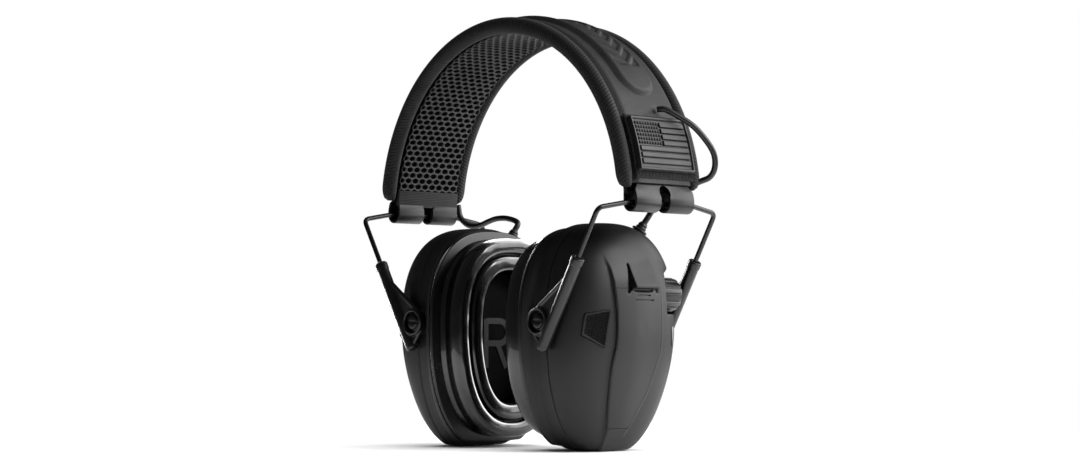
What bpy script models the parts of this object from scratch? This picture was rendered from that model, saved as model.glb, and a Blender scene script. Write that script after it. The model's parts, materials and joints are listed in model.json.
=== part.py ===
"""Folding electronic earmuff hearing protector, modelled as its separate pieces.

X runs from ear to ear with the wearer's left at +X, the front is -Y and Z is up.
The origin lies on the surface that the two cups stand on, midway between them.
Each side is drawn for +X and mirrored where it belongs to the right cup.
"""
import math

import bmesh
import bpy
from mathutils import Matrix, Vector

MM = 0.001
GAP = 0.3 * MM
MERGE = 0.01 * MM

# Headband: half an ellipse, swept with layers measured outwards from its centre line
HALF_SPAN = 80.0 * MM
ARC_RISE = 86.5 * MM
ARC_BASE_Z = 112.6 * MM
ARC_STEPS = 34
STRAP_HALF_WIDTH = 17.5 * MM
ROLL_RADIUS = 4.2 * MM
ROLL_Y = 22.0 * MM
ROLL_LIFT = -0.3 * MM
ROLL_END_Z = 119.5 * MM
STRAP_END_Z = 121.2 * MM
MESH_END_Z = 124.3 * MM
MESH_LAYER = (-3.9 * MM, -2.6 * MM)
FOAM_LAYER = (-2.3 * MM, 0.0 * MM)
STEEL_LIFT = 0.9 * MM
STEEL_THICKNESS = 1.2 * MM
SKIN_LAYER = (1.8 * MM, 3.4 * MM)
CROWN_LAYER = (3.7 * MM, 6.0 * MM)
CROWN_HALF_WIDTH = 12.5 * MM
CROWN_TIP_HALF_WIDTH = 0.8 * MM
CROWN_BEVEL = 1.6 * MM
CROWN_END_POWER = 7.0
CROWN_END_Z = 160.0 * MM
CROWN_STEPS = 40
LINER_STRIP_Z = 117.4 * MM
LINER_STRIP_STEPS = 2
PATCH_STEPS = 6
LOOP_LAYER = (3.7 * MM, 4.5 * MM)
LOOP_HALF_WIDTH = 19.4 * MM
LOOP_ENDS_Z = (123.0 * MM, 151.3 * MM)
PATCH_LAYER = (4.8 * MM, 6.8 * MM)
PATCH_HALF_WIDTH = 18.5 * MM
PATCH_ENDS_Z = (126.2 * MM, 149.6 * MM)

# Hooks: the steel rolled round the yoke wire
HOOK_X = 79.5 * MM
HOOK_Z = 112.6 * MM
HOOK_RADIUS = 3.6 * MM
HOOK_HALF_WIDTH = 19.5 * MM
HOOK_STEPS = 8
HOOK_LEAF_Z = 116.6 * MM
HOOK_FLARE = ((HOOK_X + HOOK_RADIUS, 114.6 * MM), (82.4 * MM, 117.6 * MM))
HOOK_WIDE_BELOW_Z = 118.2 * MM
STEEL_ARC_Z = 120.9 * MM
STEEL_HALF_WIDTH = 17.3 * MM
KEYHOLE_X = (70.0 * MM, 90.0 * MM)
KEYHOLE_FOOT_Z = 100.0 * MM
KEYHOLE_HALF_WIDTH = 3.0 * MM
KEYHOLE_RADIUS = 3.6 * MM
KEYHOLE_Z = 117.2 * MM

# Yoke wires and the arms that slide on their legs
WIRE_RADIUS = 1.15 * MM
LEG_Y = 39.5 * MM
LEG_SHOWN = 25.0 * MM
LEG_BEND = (1.5 * MM, 0.8 * MM)
WIRE_STRAIGHT_Y = (HOOK_HALF_WIDTH - 1.0 * MM, HOOK_HALF_WIDTH + 2.5 * MM)
TUBE_TOP = (66.5 * MM, 87.7 * MM)
TUBE_FOOT = (43.35 * MM, 46.1 * MM)
TUBE_RADIUS = 2.9 * MM
TUBE_BORE = 1.6 * MM
TUBE_FLOOR = 1.5 * MM
LEG_INSERTED = 25.0 * MM
PIVOT = (42.0 * MM, 59.25 * MM)
EYE_RADIUS = 6.3 * MM
EYE_RECESS = 5.2 * MM
EYE_BORE = 2.5 * MM
EYE_Y = (37.1 * MM, 41.9 * MM)
EYE_FLOOR_Y = 39.3 * MM
WEB_Y = (38.6 * MM, 40.4 * MM)
WEB_BELOW_TOP = 6.0 * MM
WEB_ON_EYE = ((-1.0 * MM, 5.6 * MM), (-4.5 * MM, -3.0 * MM))
CUT_Y = (30.0 * MM, 50.0 * MM)
SCREW_HEAD = 4.3 * MM
SCREW_SHANK = 2.1 * MM
SCREW_Y = (30.0 * MM, 41.3 * MM)
SCREW_SLOT_Y = 40.3 * MM
SCREW_SLOT = (6.0 * MM, 0.6 * MM)
BOSS_BORE = 2.45 * MM
BOSS_Y = (20.0 * MM, 45.0 * MM)

# Cup outline in Y and Z: a rounded box with its own shape above and below its widest line
CUP_TOP = 105.0 * MM
WIDEST_Z = 57.0 * MM
CUP_FOOT = -3.0 * MM
TOP_POWER = 2.5
FOOT_POWER = 2.35
OUTLINE_STEPS = 44
SHELL_HALF_WIDTH = 36.2 * MM
RIM_HALF_WIDTH = 40.6 * MM
WALL = 2.2 * MM

# Cup stations along X, outwards from the head
RIM_X = (28.7 * MM, 31.0 * MM)
RIM_Z = (-2.0 * MM, 103.4 * MM)
RIM_FLOOR = 2.2 * MM
EAR_WINDOW = (24.0 * MM, 89.0 * MM, 17.0 * MM)
BASE_X = (31.3 * MM, 42.7 * MM)
BAFFLE = 2.0 * MM
SPEAKER_X = (36.8 * MM, 45.0 * MM)
SPEAKER_Z = 55.0 * MM
SPEAKER_SEAT = 17.3 * MM
SPEAKER_PROFILE = ((0.0, 16.8 * MM), (0.45, 16.8 * MM), (0.5, 12.0 * MM), (1.0, 12.0 * MM))
CLOTH_X = (26.6 * MM, 27.4 * MM)
FOAM_X = (27.8 * MM, 36.4 * MM)
FOAM_SIZE = (19.4 * MM, 83.3 * MM, 20.7 * MM)
DOME_X = (43.0 * MM, 68.5 * MM)
DOME_POWER = 2.8
DOME_TAPER = 0.28
DOME_TAPER_END_Z = 5.0 * MM
DOME_STATIONS = (0.0, 0.3, 0.5, 0.66, 0.79, 0.88, 0.945, 0.98)
DOME_INNER_STATIONS = (0.0, 0.35, 0.6, 0.78, 0.9, 0.97)
SPINE_PROUD = 0.9 * MM
DOOR_FRONT = ((-17.2 * MM, 74.3 * MM), (-16.3 * MM, 63.0 * MM), (-16.2 * MM, 50.0 * MM),
              (-17.1 * MM, 38.0 * MM), (-15.2 * MM, 24.0 * MM), (-12.2 * MM, 10.3 * MM))
DOOR_REAR = ((1.2 * MM, 10.3 * MM), (9.4 * MM, 26.5 * MM), (14.2 * MM, 46.0 * MM), (14.2 * MM, 74.3 * MM))
DOOR_DEPTH = 2.0 * MM
DOOR_FOOT_Z = DOOR_FRONT[-1][1]
SPINE_TOP_Z = 88.0 * MM
SPINE_BORDER = 1.2 * MM
PANEL_X = (50.0 * MM, 80.0 * MM)

# Controls and electronics
KNOB_X = 56.0 * MM
KNOB_Z = 72.0 * MM
KNOB_RADIUS = 8.0 * MM
KNOB_Y = (21.0 * MM, 34.0 * MM)
KNOB_RIBS = 18
KNOB_CHAMFER = (0.8 * MM, 0.6 * MM)
KNOB_RIB_DEPTH = 0.5 * MM
SPINDLE_RADIUS = 1.5 * MM
SPINDLE_BORE = 1.9 * MM
SPINDLE_START_Y = 8.0 * MM
POTENTIOMETER = ((50.5 * MM, 6.0 * MM, 66.5 * MM), (61.5 * MM, 14.5 * MM, 77.5 * MM))
POTENTIOMETER_BORE_Y = 7.4 * MM
NOTCH_Y = 19.6 * MM
NOTCH_Z = (62.9 * MM, 84.2 * MM)
NOTCH_X = 46.6 * MM
GRILLE_CENTRE = (64.2 * MM, -25.7 * MM, 56.8 * MM)
GRILLE_TURN = math.radians(-29.0)
GRILLE_LEAN = math.radians(-9.5)
GRILLE_SIZE = (12.0 * MM, 9.7 * MM, 17.4 * MM)
GRILLE_DEPTH = (-1.3 * MM, 0.3 * MM)
GRILLE_POCKET = -1.6 * MM
GRILLE_WALL = (1.6 * MM, -6.0 * MM)
MICROPHONE_DEPTH = (-6.4 * MM, -1.9 * MM)
MICROPHONE_RADIUS = 3.0 * MM
CIRCUIT_BOARD = ((46.0 * MM, -24.0 * MM, 26.0 * MM), (47.4 * MM, 12.0 * MM, 60.0 * MM))
BATTERY_RADIUS = 5.2 * MM
BATTERY_X = 53.1 * MM
BATTERY_Z = (21.5 * MM, 66.0 * MM)
BATTERIES_Y = (("front", -6.4 * MM), ("rear", 5.0 * MM))
CLEAR_OF_CUP = 90.0 * MM

# Grommets: where each stands on its casing and its direction, both drawn for the left
GROMMETS = {1: ((51.0 * MM, 17.0 * MM, 101.2 * MM), (0.35, 0.42, 0.84)),
            -1: ((37.0 * MM, 20.0 * MM, 100.3 * MM), (0.0, 0.47, 0.88))}
GROMMET_PROFILE = ((-2.5 * MM, 2.7 * MM), (0.35 * MM, 2.7 * MM), (0.36 * MM, 3.9 * MM), (1.5 * MM, 3.7 * MM),
                   (2.7 * MM, 2.5 * MM), (5.0 * MM, 1.9 * MM))
GROMMET_HOLE = 3.0 * MM
LEAD_START = 5.7 * MM
LEAD_RADIUS = 1.4 * MM
LEAD_SPACING = 6.0 * MM
CURVE_STEPS = 20

FINISHES = {
    "steel": ((0.030, 0.030, 0.032), 0.35, 0.8),
    "skin": ((0.022, 0.022, 0.023), 0.62, 0.0),
    "twill": ((0.018, 0.018, 0.019), 0.80, 0.0),
    "mesh": ((0.012, 0.012, 0.013), 0.75, 0.0),
    "foam": ((0.020, 0.020, 0.020), 0.95, 0.0),
    "loop": ((0.013, 0.013, 0.014), 0.95, 0.0),
    "patch": ((0.030, 0.030, 0.031), 0.60, 0.0),
    "shell": ((0.026, 0.026, 0.027), 0.55, 0.0),
    "arm": ((0.022, 0.022, 0.023), 0.42, 0.0),
    "wire": ((0.020, 0.020, 0.021), 0.30, 0.7),
    "gel": ((0.010, 0.010, 0.011), 0.10, 0.0),
    "cloth": ((0.006, 0.006, 0.006), 0.95, 0.0),
    "screw": ((0.015, 0.015, 0.016), 0.35, 0.2),
    "electronics": ((0.020, 0.090, 0.040), 0.50, 0.0),
    "battery": ((0.450, 0.450, 0.460), 0.35, 0.6),
    "rubber": ((0.010, 0.010, 0.010), 0.50, 0.0),
}


# ---------------------------------------------------------------- scene helpers

def clear_scene():
    for item in list(bpy.data.objects):
        bpy.data.objects.remove(item, do_unlink=True)


def material(finish):
    """Principled material of one finish, made the first time it is asked for."""
    made = bpy.data.materials.get(finish)
    if made:
        return made
    colour, roughness, metallic = FINISHES[finish]
    made = bpy.data.materials.new(finish)
    made.use_nodes = True
    shader = made.node_tree.nodes["Principled BSDF"]
    shader.inputs["Base Color"].default_value = (*colour, 1.0)
    shader.inputs["Roughness"].default_value = roughness
    shader.inputs["Metallic"].default_value = metallic
    return made


def joint_frame(name, place, parent=None):
    """Empty on a joint's axis that the moving pieces hang from."""
    empty = bpy.data.objects.new(name, None)
    bpy.context.collection.objects.link(empty)
    empty["world"] = tuple(place)
    empty.location = place
    if parent:
        empty.parent = parent
        empty.location = Vector(place) - Vector(parent["world"])
    return empty


def piece(name, solid, finish, frame, side=1):
    """Link a solid drawn in world coordinates as an object that hangs from a frame."""
    if side < 0:
        bmesh.ops.scale(solid, vec=(-1.0, 1.0, 1.0), verts=solid.verts)
        bmesh.ops.reverse_faces(solid, faces=solid.faces)
    mesh = bpy.data.meshes.new(name)
    solid.to_mesh(mesh)
    solid.free()
    mesh.transform(Matrix.Translation(-Vector(frame["world"])))
    mesh.materials.append(material(finish))
    mesh.shade_smooth()
    mesh.set_sharp_from_angle(angle=math.radians(35.0))
    made = bpy.data.objects.new(name, mesh)
    bpy.context.collection.objects.link(made)
    made.parent = frame
    return made


def boolean(solid, tool, operation="DIFFERENCE"):
    """Exact Boolean of two solids; both are used up."""
    holders = []
    for part in (solid, tool):
        mesh = bpy.data.meshes.new("operand")
        part.to_mesh(mesh)
        part.free()
        holder = bpy.data.objects.new("operand", mesh)
        bpy.context.collection.objects.link(holder)
        holders.append(holder)
    change = holders[0].modifiers.new("change", "BOOLEAN")
    change.operation = operation
    change.solver = "EXACT"
    change.object = holders[1]
    bpy.context.view_layer.update()
    result = bmesh.new()
    result.from_object(holders[0], bpy.context.evaluated_depsgraph_get())
    for holder in holders:
        bpy.data.objects.remove(holder, do_unlink=True)
    bmesh.ops.remove_doubles(result, verts=result.verts, dist=MERGE)
    bmesh.ops.dissolve_degenerate(result, dist=MERGE, edges=result.edges)
    return result


# ---------------------------------------------------------------- solid helpers

def loft(rings, joined=False):
    """Closed solid through rings of equal count, capped unless it joins onto itself."""
    solid = bmesh.new()
    loops = [[solid.verts.new(point) for point in ring] for ring in rings]
    count = len(loops[0])
    following = loops[1:] + ([loops[0]] if joined else [])
    for low, high in zip(loops, following):
        for here in range(count):
            there = (here + 1) % count
            solid.faces.new((low[here], low[there], high[there], high[here]))
    if not joined:
        solid.faces.new(loops[0][::-1])
        solid.faces.new(loops[-1])
    bmesh.ops.recalc_face_normals(solid, faces=solid.faces)
    return solid


def box(low, high):
    corners = [(low[0], low[1]), (high[0], low[1]), (high[0], high[1]), (low[0], high[1])]
    return loft([[(x, y, z) for x, y in corners] for z in (low[2], high[2])])


def rod(start, end, radii, sides=16):
    """Turned solid along a line: radii is a list of (distance fraction, radius)."""
    start, end = Vector(start), Vector(end)
    turn = (end - start).to_track_quat("Z", "Y")
    rings = []
    for fraction, radius in radii:
        middle = start.lerp(end, fraction)
        angles = (2.0 * math.pi * step / sides for step in range(sides))
        around = [Vector((radius * math.cos(a), radius * math.sin(a), 0.0)) for a in angles]
        rings.append([middle + turn @ point for point in around])
    return loft(rings)


def cylinder(start, end, radius, sides=16):
    return rod(start, end, ((0.0, radius), (1.0, radius)), sides)


def prism_y(points, low_y, high_y):
    """Outline of (x, z) points extruded along Y."""
    return loft([[(x, y, z) for x, z in points] for y in (low_y, high_y)])


def prism_x(points, low_x, high_x):
    """Outline of (y, z) points extruded along X."""
    return loft([[(x, y, z) for y, z in points] for x in (low_x, high_x)])


def smooth_route(points, spacing):
    """Points at an even spacing along a Catmull-Rom curve through the given points."""
    ends = [points[0] * 2.0 - points[1], *points, points[-1] * 2.0 - points[-2]]
    fine = []
    for a, b, c, d in zip(ends, ends[1:], ends[2:], ends[3:]):
        for step in range(CURVE_STEPS):
            t = step / CURVE_STEPS
            fine.append(0.5 * (2.0 * b + (c - a) * t + (2.0 * a - 5.0 * b + 4.0 * c - d) * t * t
                               + (3.0 * b - a - 3.0 * c + d) * t * t * t))
    fine.append(points[-1].copy())
    length = sum((q - p).length for p, q in zip(fine, fine[1:]))
    count = max(3, round(length / spacing))
    route, gone, target = [fine[0]], 0.0, length / count
    for p, q in zip(fine, fine[1:]):
        gone += (q - p).length
        if gone >= target * len(route) and len(route) < count:
            route.append(q)
    return route + [fine[-1]]


def tube(name, points, radius, finish, frame, sides_level=2):
    """Round bar along a polyline, as a bevelled curve with closed ends."""
    curve = bpy.data.curves.new(name, "CURVE")
    curve.dimensions = "3D"
    curve.bevel_depth = radius
    curve.bevel_resolution = sides_level
    curve.use_fill_caps = True
    spline = curve.splines.new("POLY")
    spline.points.add(len(points) - 1)
    for knot, point in zip(spline.points, points):
        knot.co = (*(Vector(point) - Vector(frame["world"])), 1.0)
    curve.materials.append(material(finish))
    made = bpy.data.objects.new(name, curve)
    bpy.context.collection.objects.link(made)
    made.parent = frame
    return made


# ---------------------------------------------------------------- headband

def arc_angle(z):
    """Angle from the crown at which the centre line passes a height."""
    return math.acos((z - ARC_BASE_Z) / ARC_RISE)


def arc_point(angle, y, lift):
    """Point beside the headband's centre line, lift outwards from it."""
    across, up = ARC_RISE * math.sin(angle), HALF_SPAN * math.cos(angle)
    size = math.hypot(across, up)
    x = HALF_SPAN * math.sin(angle) + lift * across / size
    z = ARC_BASE_Z + ARC_RISE * math.cos(angle) + lift * up / size
    return Vector((x, y, z))


def arc_strip(section_at, start, end, steps):
    """Sweep a cross-section of (y, lift) points along the headband."""
    rings = []
    for step in range(steps + 1):
        angle = start + (end - start) * step / steps
        rings.append([arc_point(angle, y, lift) for y, lift in section_at(angle)])
    return loft(rings)


def flat_section(half_width, layer):
    low, high = layer
    corners = ((-half_width, low), (half_width, low), (half_width, high), (-half_width, high))
    return lambda angle: corners


def round_section(centre_y, lift, radius, sides=10):
    turns = [2.0 * math.pi * side / sides for side in range(sides)]
    circle = [(centre_y + radius * math.cos(a), lift + radius * math.sin(a)) for a in turns]
    return lambda angle: circle


def crown_section(angle):
    """The crown pad narrows to rounded ends and has bevelled long edges."""
    along = min(1.0, abs(angle) / arc_angle(CROWN_END_Z))
    half = max(CROWN_HALF_WIDTH * math.sqrt(1.0 - along ** CROWN_END_POWER), CROWN_TIP_HALF_WIDTH)
    low, high = CROWN_LAYER
    bevel = min(CROWN_BEVEL, half / 2.0)
    return ((-half, low), (half, low), (half - bevel, high), (-half + bevel, high))


def steel_path():
    """Centre line of the spring band from its left hook over the crown to the right hook."""
    hook = []
    for step in range(HOOK_STEPS + 1):
        angle = -math.pi + math.pi * step / HOOK_STEPS
        hook.append((HOOK_X + HOOK_RADIUS * math.cos(angle), HOOK_Z + HOOK_RADIUS * math.sin(angle)))
    leaf = [(HOOK_X - HOOK_RADIUS, HOOK_LEAF_Z)]
    end = arc_angle(STEEL_ARC_Z)
    arc = [arc_point(end - 2.0 * end * step / ARC_STEPS, 0.0, STEEL_LIFT) for step in range(ARC_STEPS + 1)]
    side = leaf + hook + list(HOOK_FLARE)
    path = side + [(point.x, point.z) for point in arc] + [(-x, z) for x, z in side[::-1]]
    return [Vector(point) for point in path]


def spring_band():
    path = steel_path()
    rings = []
    for here, point in enumerate(path):
        before = path[max(here - 1, 0)]
        after = path[min(here + 1, len(path) - 1)]
        along = (after - before).normalized()
        out = Vector((along.y, -along.x)) * STEEL_THICKNESS / 2.0
        half = HOOK_HALF_WIDTH if point.y < HOOK_WIDE_BELOW_Z else STEEL_HALF_WIDTH
        outer, inner = point + out, point - out
        rings.append([(outer.x, -half, outer.y), (outer.x, half, outer.y),
                      (inner.x, half, inner.y), (inner.x, -half, inner.y)])
    band = loft(rings)
    for side in (1, -1):
        near, far = sorted(side * x for x in KEYHOLE_X)
        slot = box((near, -KEYHOLE_HALF_WIDTH, KEYHOLE_FOOT_Z), (far, KEYHOLE_HALF_WIDTH, KEYHOLE_Z))
        eye = cylinder((near, 0.0, KEYHOLE_Z), (far, 0.0, KEYHOLE_Z), KEYHOLE_RADIUS)
        band = boolean(band, boolean(slot, eye, "UNION"))
    return band


def arc_between(low_z, high_z, side):
    """Start and end angles of a strip on one side of the headband."""
    return side * arc_angle(low_z), side * arc_angle(high_z)


def build_headband(frame):
    strap, mesh, roll = (arc_angle(z) for z in (STRAP_END_Z, MESH_END_Z, ROLL_END_Z))
    crown = arc_angle(CROWN_END_Z)
    piece("spring_band", spring_band(), "steel", frame)
    skin = arc_strip(flat_section(STRAP_HALF_WIDTH, SKIN_LAYER), -strap, strap, ARC_STEPS)
    piece("outer_cover", skin, "skin", frame)
    foam = arc_strip(flat_section(STRAP_HALF_WIDTH, FOAM_LAYER), -mesh, mesh, ARC_STEPS)
    piece("inner_pad", foam, "foam", frame)
    liner = arc_strip(flat_section(STRAP_HALF_WIDTH, MESH_LAYER), -mesh, mesh, ARC_STEPS)
    piece("mesh_liner", liner, "mesh", frame)
    piece("crown_pad", arc_strip(crown_section, -crown, crown, CROWN_STEPS), "skin", frame)
    for name, y in (("front", -ROLL_Y), ("rear", ROLL_Y)):
        edge = arc_strip(round_section(y, ROLL_LIFT, ROLL_RADIUS), -roll, roll, ARC_STEPS)
        piece(name + "_edge_roll", edge, "twill", frame)
    for name, side in (("left", 1), ("right", -1)):
        start, end = arc_between(LINER_STRIP_Z, MESH_END_Z - GAP, side)
        strip = arc_strip(flat_section(STRAP_HALF_WIDTH - GAP, MESH_LAYER), start, end, LINER_STRIP_STEPS)
        piece(name + "_liner_strip", strip, "twill", frame)
        start, end = arc_between(*LOOP_ENDS_Z, side)
        panel = arc_strip(flat_section(LOOP_HALF_WIDTH, LOOP_LAYER), start, end, PATCH_STEPS)
        piece(name + "_loop_panel", panel, "loop", frame)
        start, end = arc_between(*PATCH_ENDS_Z, side)
        patch = arc_strip(flat_section(PATCH_HALF_WIDTH, PATCH_LAYER), start, end, PATCH_STEPS)
        piece(name + "_patch", patch, "patch", frame)


# ---------------------------------------------------------------- yokes

def leg_direction():
    return (Vector(TUBE_TOP) - Vector(TUBE_FOOT)).normalized()


def build_yoke_wire(name, frame, side):
    """Wire through both hooks, with a leg in the front arm and one in the rear arm."""
    foot = Vector(TUBE_TOP) - leg_direction() * LEG_INSERTED
    half = [(foot.x, LEG_Y, foot.y)]
    before, inwards = LEG_BEND
    shoulder = Vector(TUBE_TOP) + leg_direction() * (LEG_SHOWN - before)
    corner = Vector(TUBE_TOP) + leg_direction() * LEG_SHOWN
    half.append((shoulder.x, LEG_Y, shoulder.y))
    half.append((corner.x, LEG_Y - inwards, corner.y))
    half.append((HOOK_X, WIRE_STRAIGHT_Y[1], HOOK_Z))
    half.append((HOOK_X, WIRE_STRAIGHT_Y[0], HOOK_Z))
    points = half + [(x, -y, z) for x, y, z in half[::-1]]
    tube(name, [(side * x, y, z) for x, y, z in points], WIRE_RADIUS, "wire", frame)


def arm_solid(end):
    """Tube, web and eyelet of the arm on the rear (end 1) or front (end -1)."""
    top = Vector((TUBE_TOP[0], end * LEG_Y, TUBE_TOP[1]))
    foot = Vector((TUBE_FOOT[0], end * LEG_Y, TUBE_FOOT[1]))
    along = (top - foot).normalized()
    low_y, high_y = (end * y for y in EYE_Y)
    eye = cylinder((PIVOT[0], low_y, PIVOT[1]), (PIVOT[0], high_y, PIVOT[1]), EYE_RADIUS, 24)
    web_top = top - along * WEB_BELOW_TOP
    corners = [(foot.x, foot.z), (web_top.x, web_top.z)]
    corners += [(PIVOT[0] + across, PIVOT[1] + up) for across, up in WEB_ON_EYE]
    web = prism_y(corners, end * WEB_Y[0], end * WEB_Y[1])
    solid = boolean(cylinder(foot, top, TUBE_RADIUS), web, "UNION")
    solid = boolean(solid, eye, "UNION")
    bore = cylinder(foot + along * TUBE_FLOOR, top + along * MM, TUBE_BORE, 12)
    solid = boolean(solid, bore)
    near, reach = (end * y for y in CUT_Y)
    recess = cylinder((PIVOT[0], end * EYE_FLOOR_Y, PIVOT[1]), (PIVOT[0], reach, PIVOT[1]), EYE_RECESS, 24)
    hole = cylinder((PIVOT[0], near, PIVOT[1]), (PIVOT[0], reach, PIVOT[1]), EYE_BORE)
    return boolean(boolean(solid, recess), hole)


def screw_solid(end):
    """Slotted shoulder screw that holds the eyelet to the cup."""
    tip, face = (end * y for y in SCREW_Y)
    seat = end * (EYE_FLOOR_Y + GAP)
    shank = cylinder((PIVOT[0], tip, PIVOT[1]), (PIVOT[0], face, PIVOT[1]), SCREW_SHANK, 12)
    head = cylinder((PIVOT[0], seat, PIVOT[1]), (PIVOT[0], face, PIVOT[1]), SCREW_HEAD)
    low, high = sorted((end * SCREW_SLOT_Y, end * CUT_Y[1]))
    across, up = SCREW_SLOT
    slot = box((PIVOT[0] - across, low, PIVOT[1] - up), (PIVOT[0] + across, high, PIVOT[1] + up))
    return boolean(boolean(shank, head, "UNION"), slot)


# ---------------------------------------------------------------- cups

def outline(half_width, top, foot, steps=OUTLINE_STEPS, floor=0.0):
    """Rounded-box outline in (y, z), flattened where it would pass below the floor."""
    points = []
    for step in range(steps):
        angle = 2.0 * math.pi * (step + 0.5) / steps
        power, reach = (TOP_POWER, top - WIDEST_Z) if math.sin(angle) > 0.0 else (FOOT_POWER, WIDEST_Z - foot)
        y = half_width * math.copysign(abs(math.cos(angle)) ** (2.0 / power), math.cos(angle))
        z = WIDEST_Z + reach * math.copysign(abs(math.sin(angle)) ** (2.0 / power), math.sin(angle))
        points.append((y, max(z, floor)))
    return points


def cup_ring(x, half_width, top, foot, floor=0.0):
    return [(x, y, z) for y, z in outline(half_width, top, foot, floor=floor)]


def shell_ring(x, inset=0.0, scale=1.0):
    """Outline of the casing, inset all round and shrunk towards its widest line."""
    half = (SHELL_HALF_WIDTH - inset) * scale
    top = WIDEST_Z + (CUP_TOP - inset - WIDEST_Z) * scale
    foot = WIDEST_Z - (WIDEST_Z - CUP_FOOT - inset) * scale
    return cup_ring(x, half, top, foot, floor=inset)


def taper(x, z):
    """Depth of the dome at a height: it gets shallower below its widest line."""
    part = min(1.0, max(0.0, (WIDEST_Z - z) / (WIDEST_Z - DOME_TAPER_END_Z)))
    return DOME_X[0] + (x - DOME_X[0]) * (1.0 - DOME_TAPER * part * part * (3.0 - 2.0 * part))


def dome_rings(stations, inset):
    """Rings of the domed outer shell, from its seam to its crown."""
    depth = DOME_X[1] - DOME_X[0] - inset
    rings = []
    for part in stations:
        scale = (1.0 - part ** DOME_POWER) ** (1.0 / DOME_POWER)
        ring = shell_ring(DOME_X[0] + depth * part, inset, scale)
        rings.append([(taper(x, z), y, z) for x, y, z in ring])
    return rings


def door_outline(clearance, top=DOOR_FRONT[0][1]):
    """Tapered panel outline in (y, z), grown all round by a clearance."""
    points = []
    for edge, away in ((DOOR_FRONT, -clearance), (DOOR_REAR, clearance)):
        for y, z in edge:
            if z == DOOR_FRONT[0][1]:
                z = top + clearance
            elif z == DOOR_FOOT_Z:
                z = DOOR_FOOT_Z - clearance
            points.append((y + away, z))
    return points


def dome_lifted(lift):
    """Solid dome with its skin moved outwards by a lift."""
    rings = dome_rings(DOME_STATIONS, -lift)
    return loft(rings)


def grille_prism(grow, low, high):
    """Trapezoid prism through the front shoulder, square to the skin there."""
    width, short, tall = GRILLE_SIZE
    half = width / 2.0 + grow
    front, back = short / 2.0 + grow, tall / 2.0 + grow
    corners = [(-half, -front), (half, -back), (half, back), (-half, front)]
    solid = prism_x(corners, low, high)
    turn = Matrix.Rotation(GRILLE_TURN, 4, "Z") @ Matrix.Rotation(GRILLE_LEAN, 4, "X")
    bmesh.ops.transform(solid, matrix=turn, verts=solid.verts)
    bmesh.ops.translate(solid, vec=GRILLE_CENTRE, verts=solid.verts)
    return solid


def with_screw_holes(solid):
    """Cut the two pivot screws' holes, which lie across the seam of the casing."""
    for end in (1, -1):
        start, finish = ((PIVOT[0], end * y, PIVOT[1]) for y in BOSS_Y)
        solid = boolean(solid, cylinder(start, finish, BOSS_BORE, 12))
    return solid


def outer_shell_solid(side):
    """Dome with its raised spine, hollowed; the left one has the controls' openings and the lead's hole."""
    solid = dome_lifted(0.0)
    spine = prism_x(door_outline(SPINE_BORDER, SPINE_TOP_Z), *PANEL_X)
    spine = boolean(dome_lifted(SPINE_PROUD), spine, "INTERSECT")
    solid = boolean(solid, spine, "UNION")
    hollow = dome_rings(DOME_INNER_STATIONS, WALL)
    mouth = [(DOME_X[0] - MM, y, z) for x, y, z in hollow[0]]
    hollow = loft([mouth] + hollow)
    far = CLEAR_OF_CUP
    if side > 0:
        keep = box((NOTCH_X - WALL, NOTCH_Y - WALL, NOTCH_Z[0] - WALL), (far, far, NOTCH_Z[1] + WALL))
        hollow = boolean(hollow, keep)
    wall, depth = GRILLE_WALL
    hollow = boolean(hollow, grille_prism(wall, depth, far))
    solid = boolean(solid, hollow)
    solid = boolean(solid, grille_prism(GAP, GRILLE_POCKET, far))
    port = cylinder(grille_point(-10.0 * MM), grille_point(2.0 * MM), MICROPHONE_RADIUS + GAP)
    solid = with_screw_holes(boolean(solid, port))
    if side > 0:
        notch = box((NOTCH_X, NOTCH_Y, NOTCH_Z[0]), (far, far, NOTCH_Z[1]))
        solid = boolean(solid, notch)
        ends = [(KNOB_X, NOTCH_Y - 5.0 * MM, KNOB_Z), (KNOB_X, NOTCH_Y + MM, KNOB_Z)]
        hole = cylinder(*ends, SPINDLE_BORE, 12)
        solid = boolean(solid, hole)
        solid = boolean(solid, prism_x(door_outline(GAP), *PANEL_X))
        solid = with_lead_hole(solid, side)
    return solid


def grille_point(depth):
    """Point on the grille's axis, depth outwards from its centre."""
    along = Vector((math.cos(GRILLE_TURN), math.sin(GRILLE_TURN), 0.0))
    return Vector(GRILLE_CENTRE) + along * depth


def door_solid():
    slab = boolean(dome_lifted(SPINE_PROUD), dome_lifted(-DOOR_DEPTH))
    panel = prism_x(door_outline(0.0), *PANEL_X)
    return boolean(slab, panel, "INTERSECT")


def base_shell_solid(side):
    """Ring wall with a baffle that seats the speaker; the right one has the lead's hole."""
    solid = loft([shell_ring(BASE_X[0]), shell_ring(BASE_X[1])])
    hollow = loft([shell_ring(BASE_X[0] - MM, WALL), shell_ring(BASE_X[1] - BAFFLE, WALL)])
    solid = boolean(solid, hollow)
    near, far = BASE_X[0] - MM, BASE_X[1] + MM
    solid = boolean(solid, cylinder((near, 0.0, SPEAKER_Z), (far, 0.0, SPEAKER_Z), SPEAKER_SEAT, 28))
    solid = with_screw_holes(solid)
    return solid if side > 0 else with_lead_hole(solid, side)


def grommet_axis(height, side):
    """Point on a grommet's axis, height outwards from the casing's skin."""
    seat, out = GROMMETS[side]
    return Vector(seat) + Vector(out).normalized() * height


def with_lead_hole(solid, side):
    """Cut the hole that the grommet's neck sits in."""
    start, end = grommet_axis(-8.0 * MM, side), grommet_axis(8.0 * MM, side)
    return boolean(solid, cylinder(start, end, GROMMET_HOLE, 12))


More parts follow.
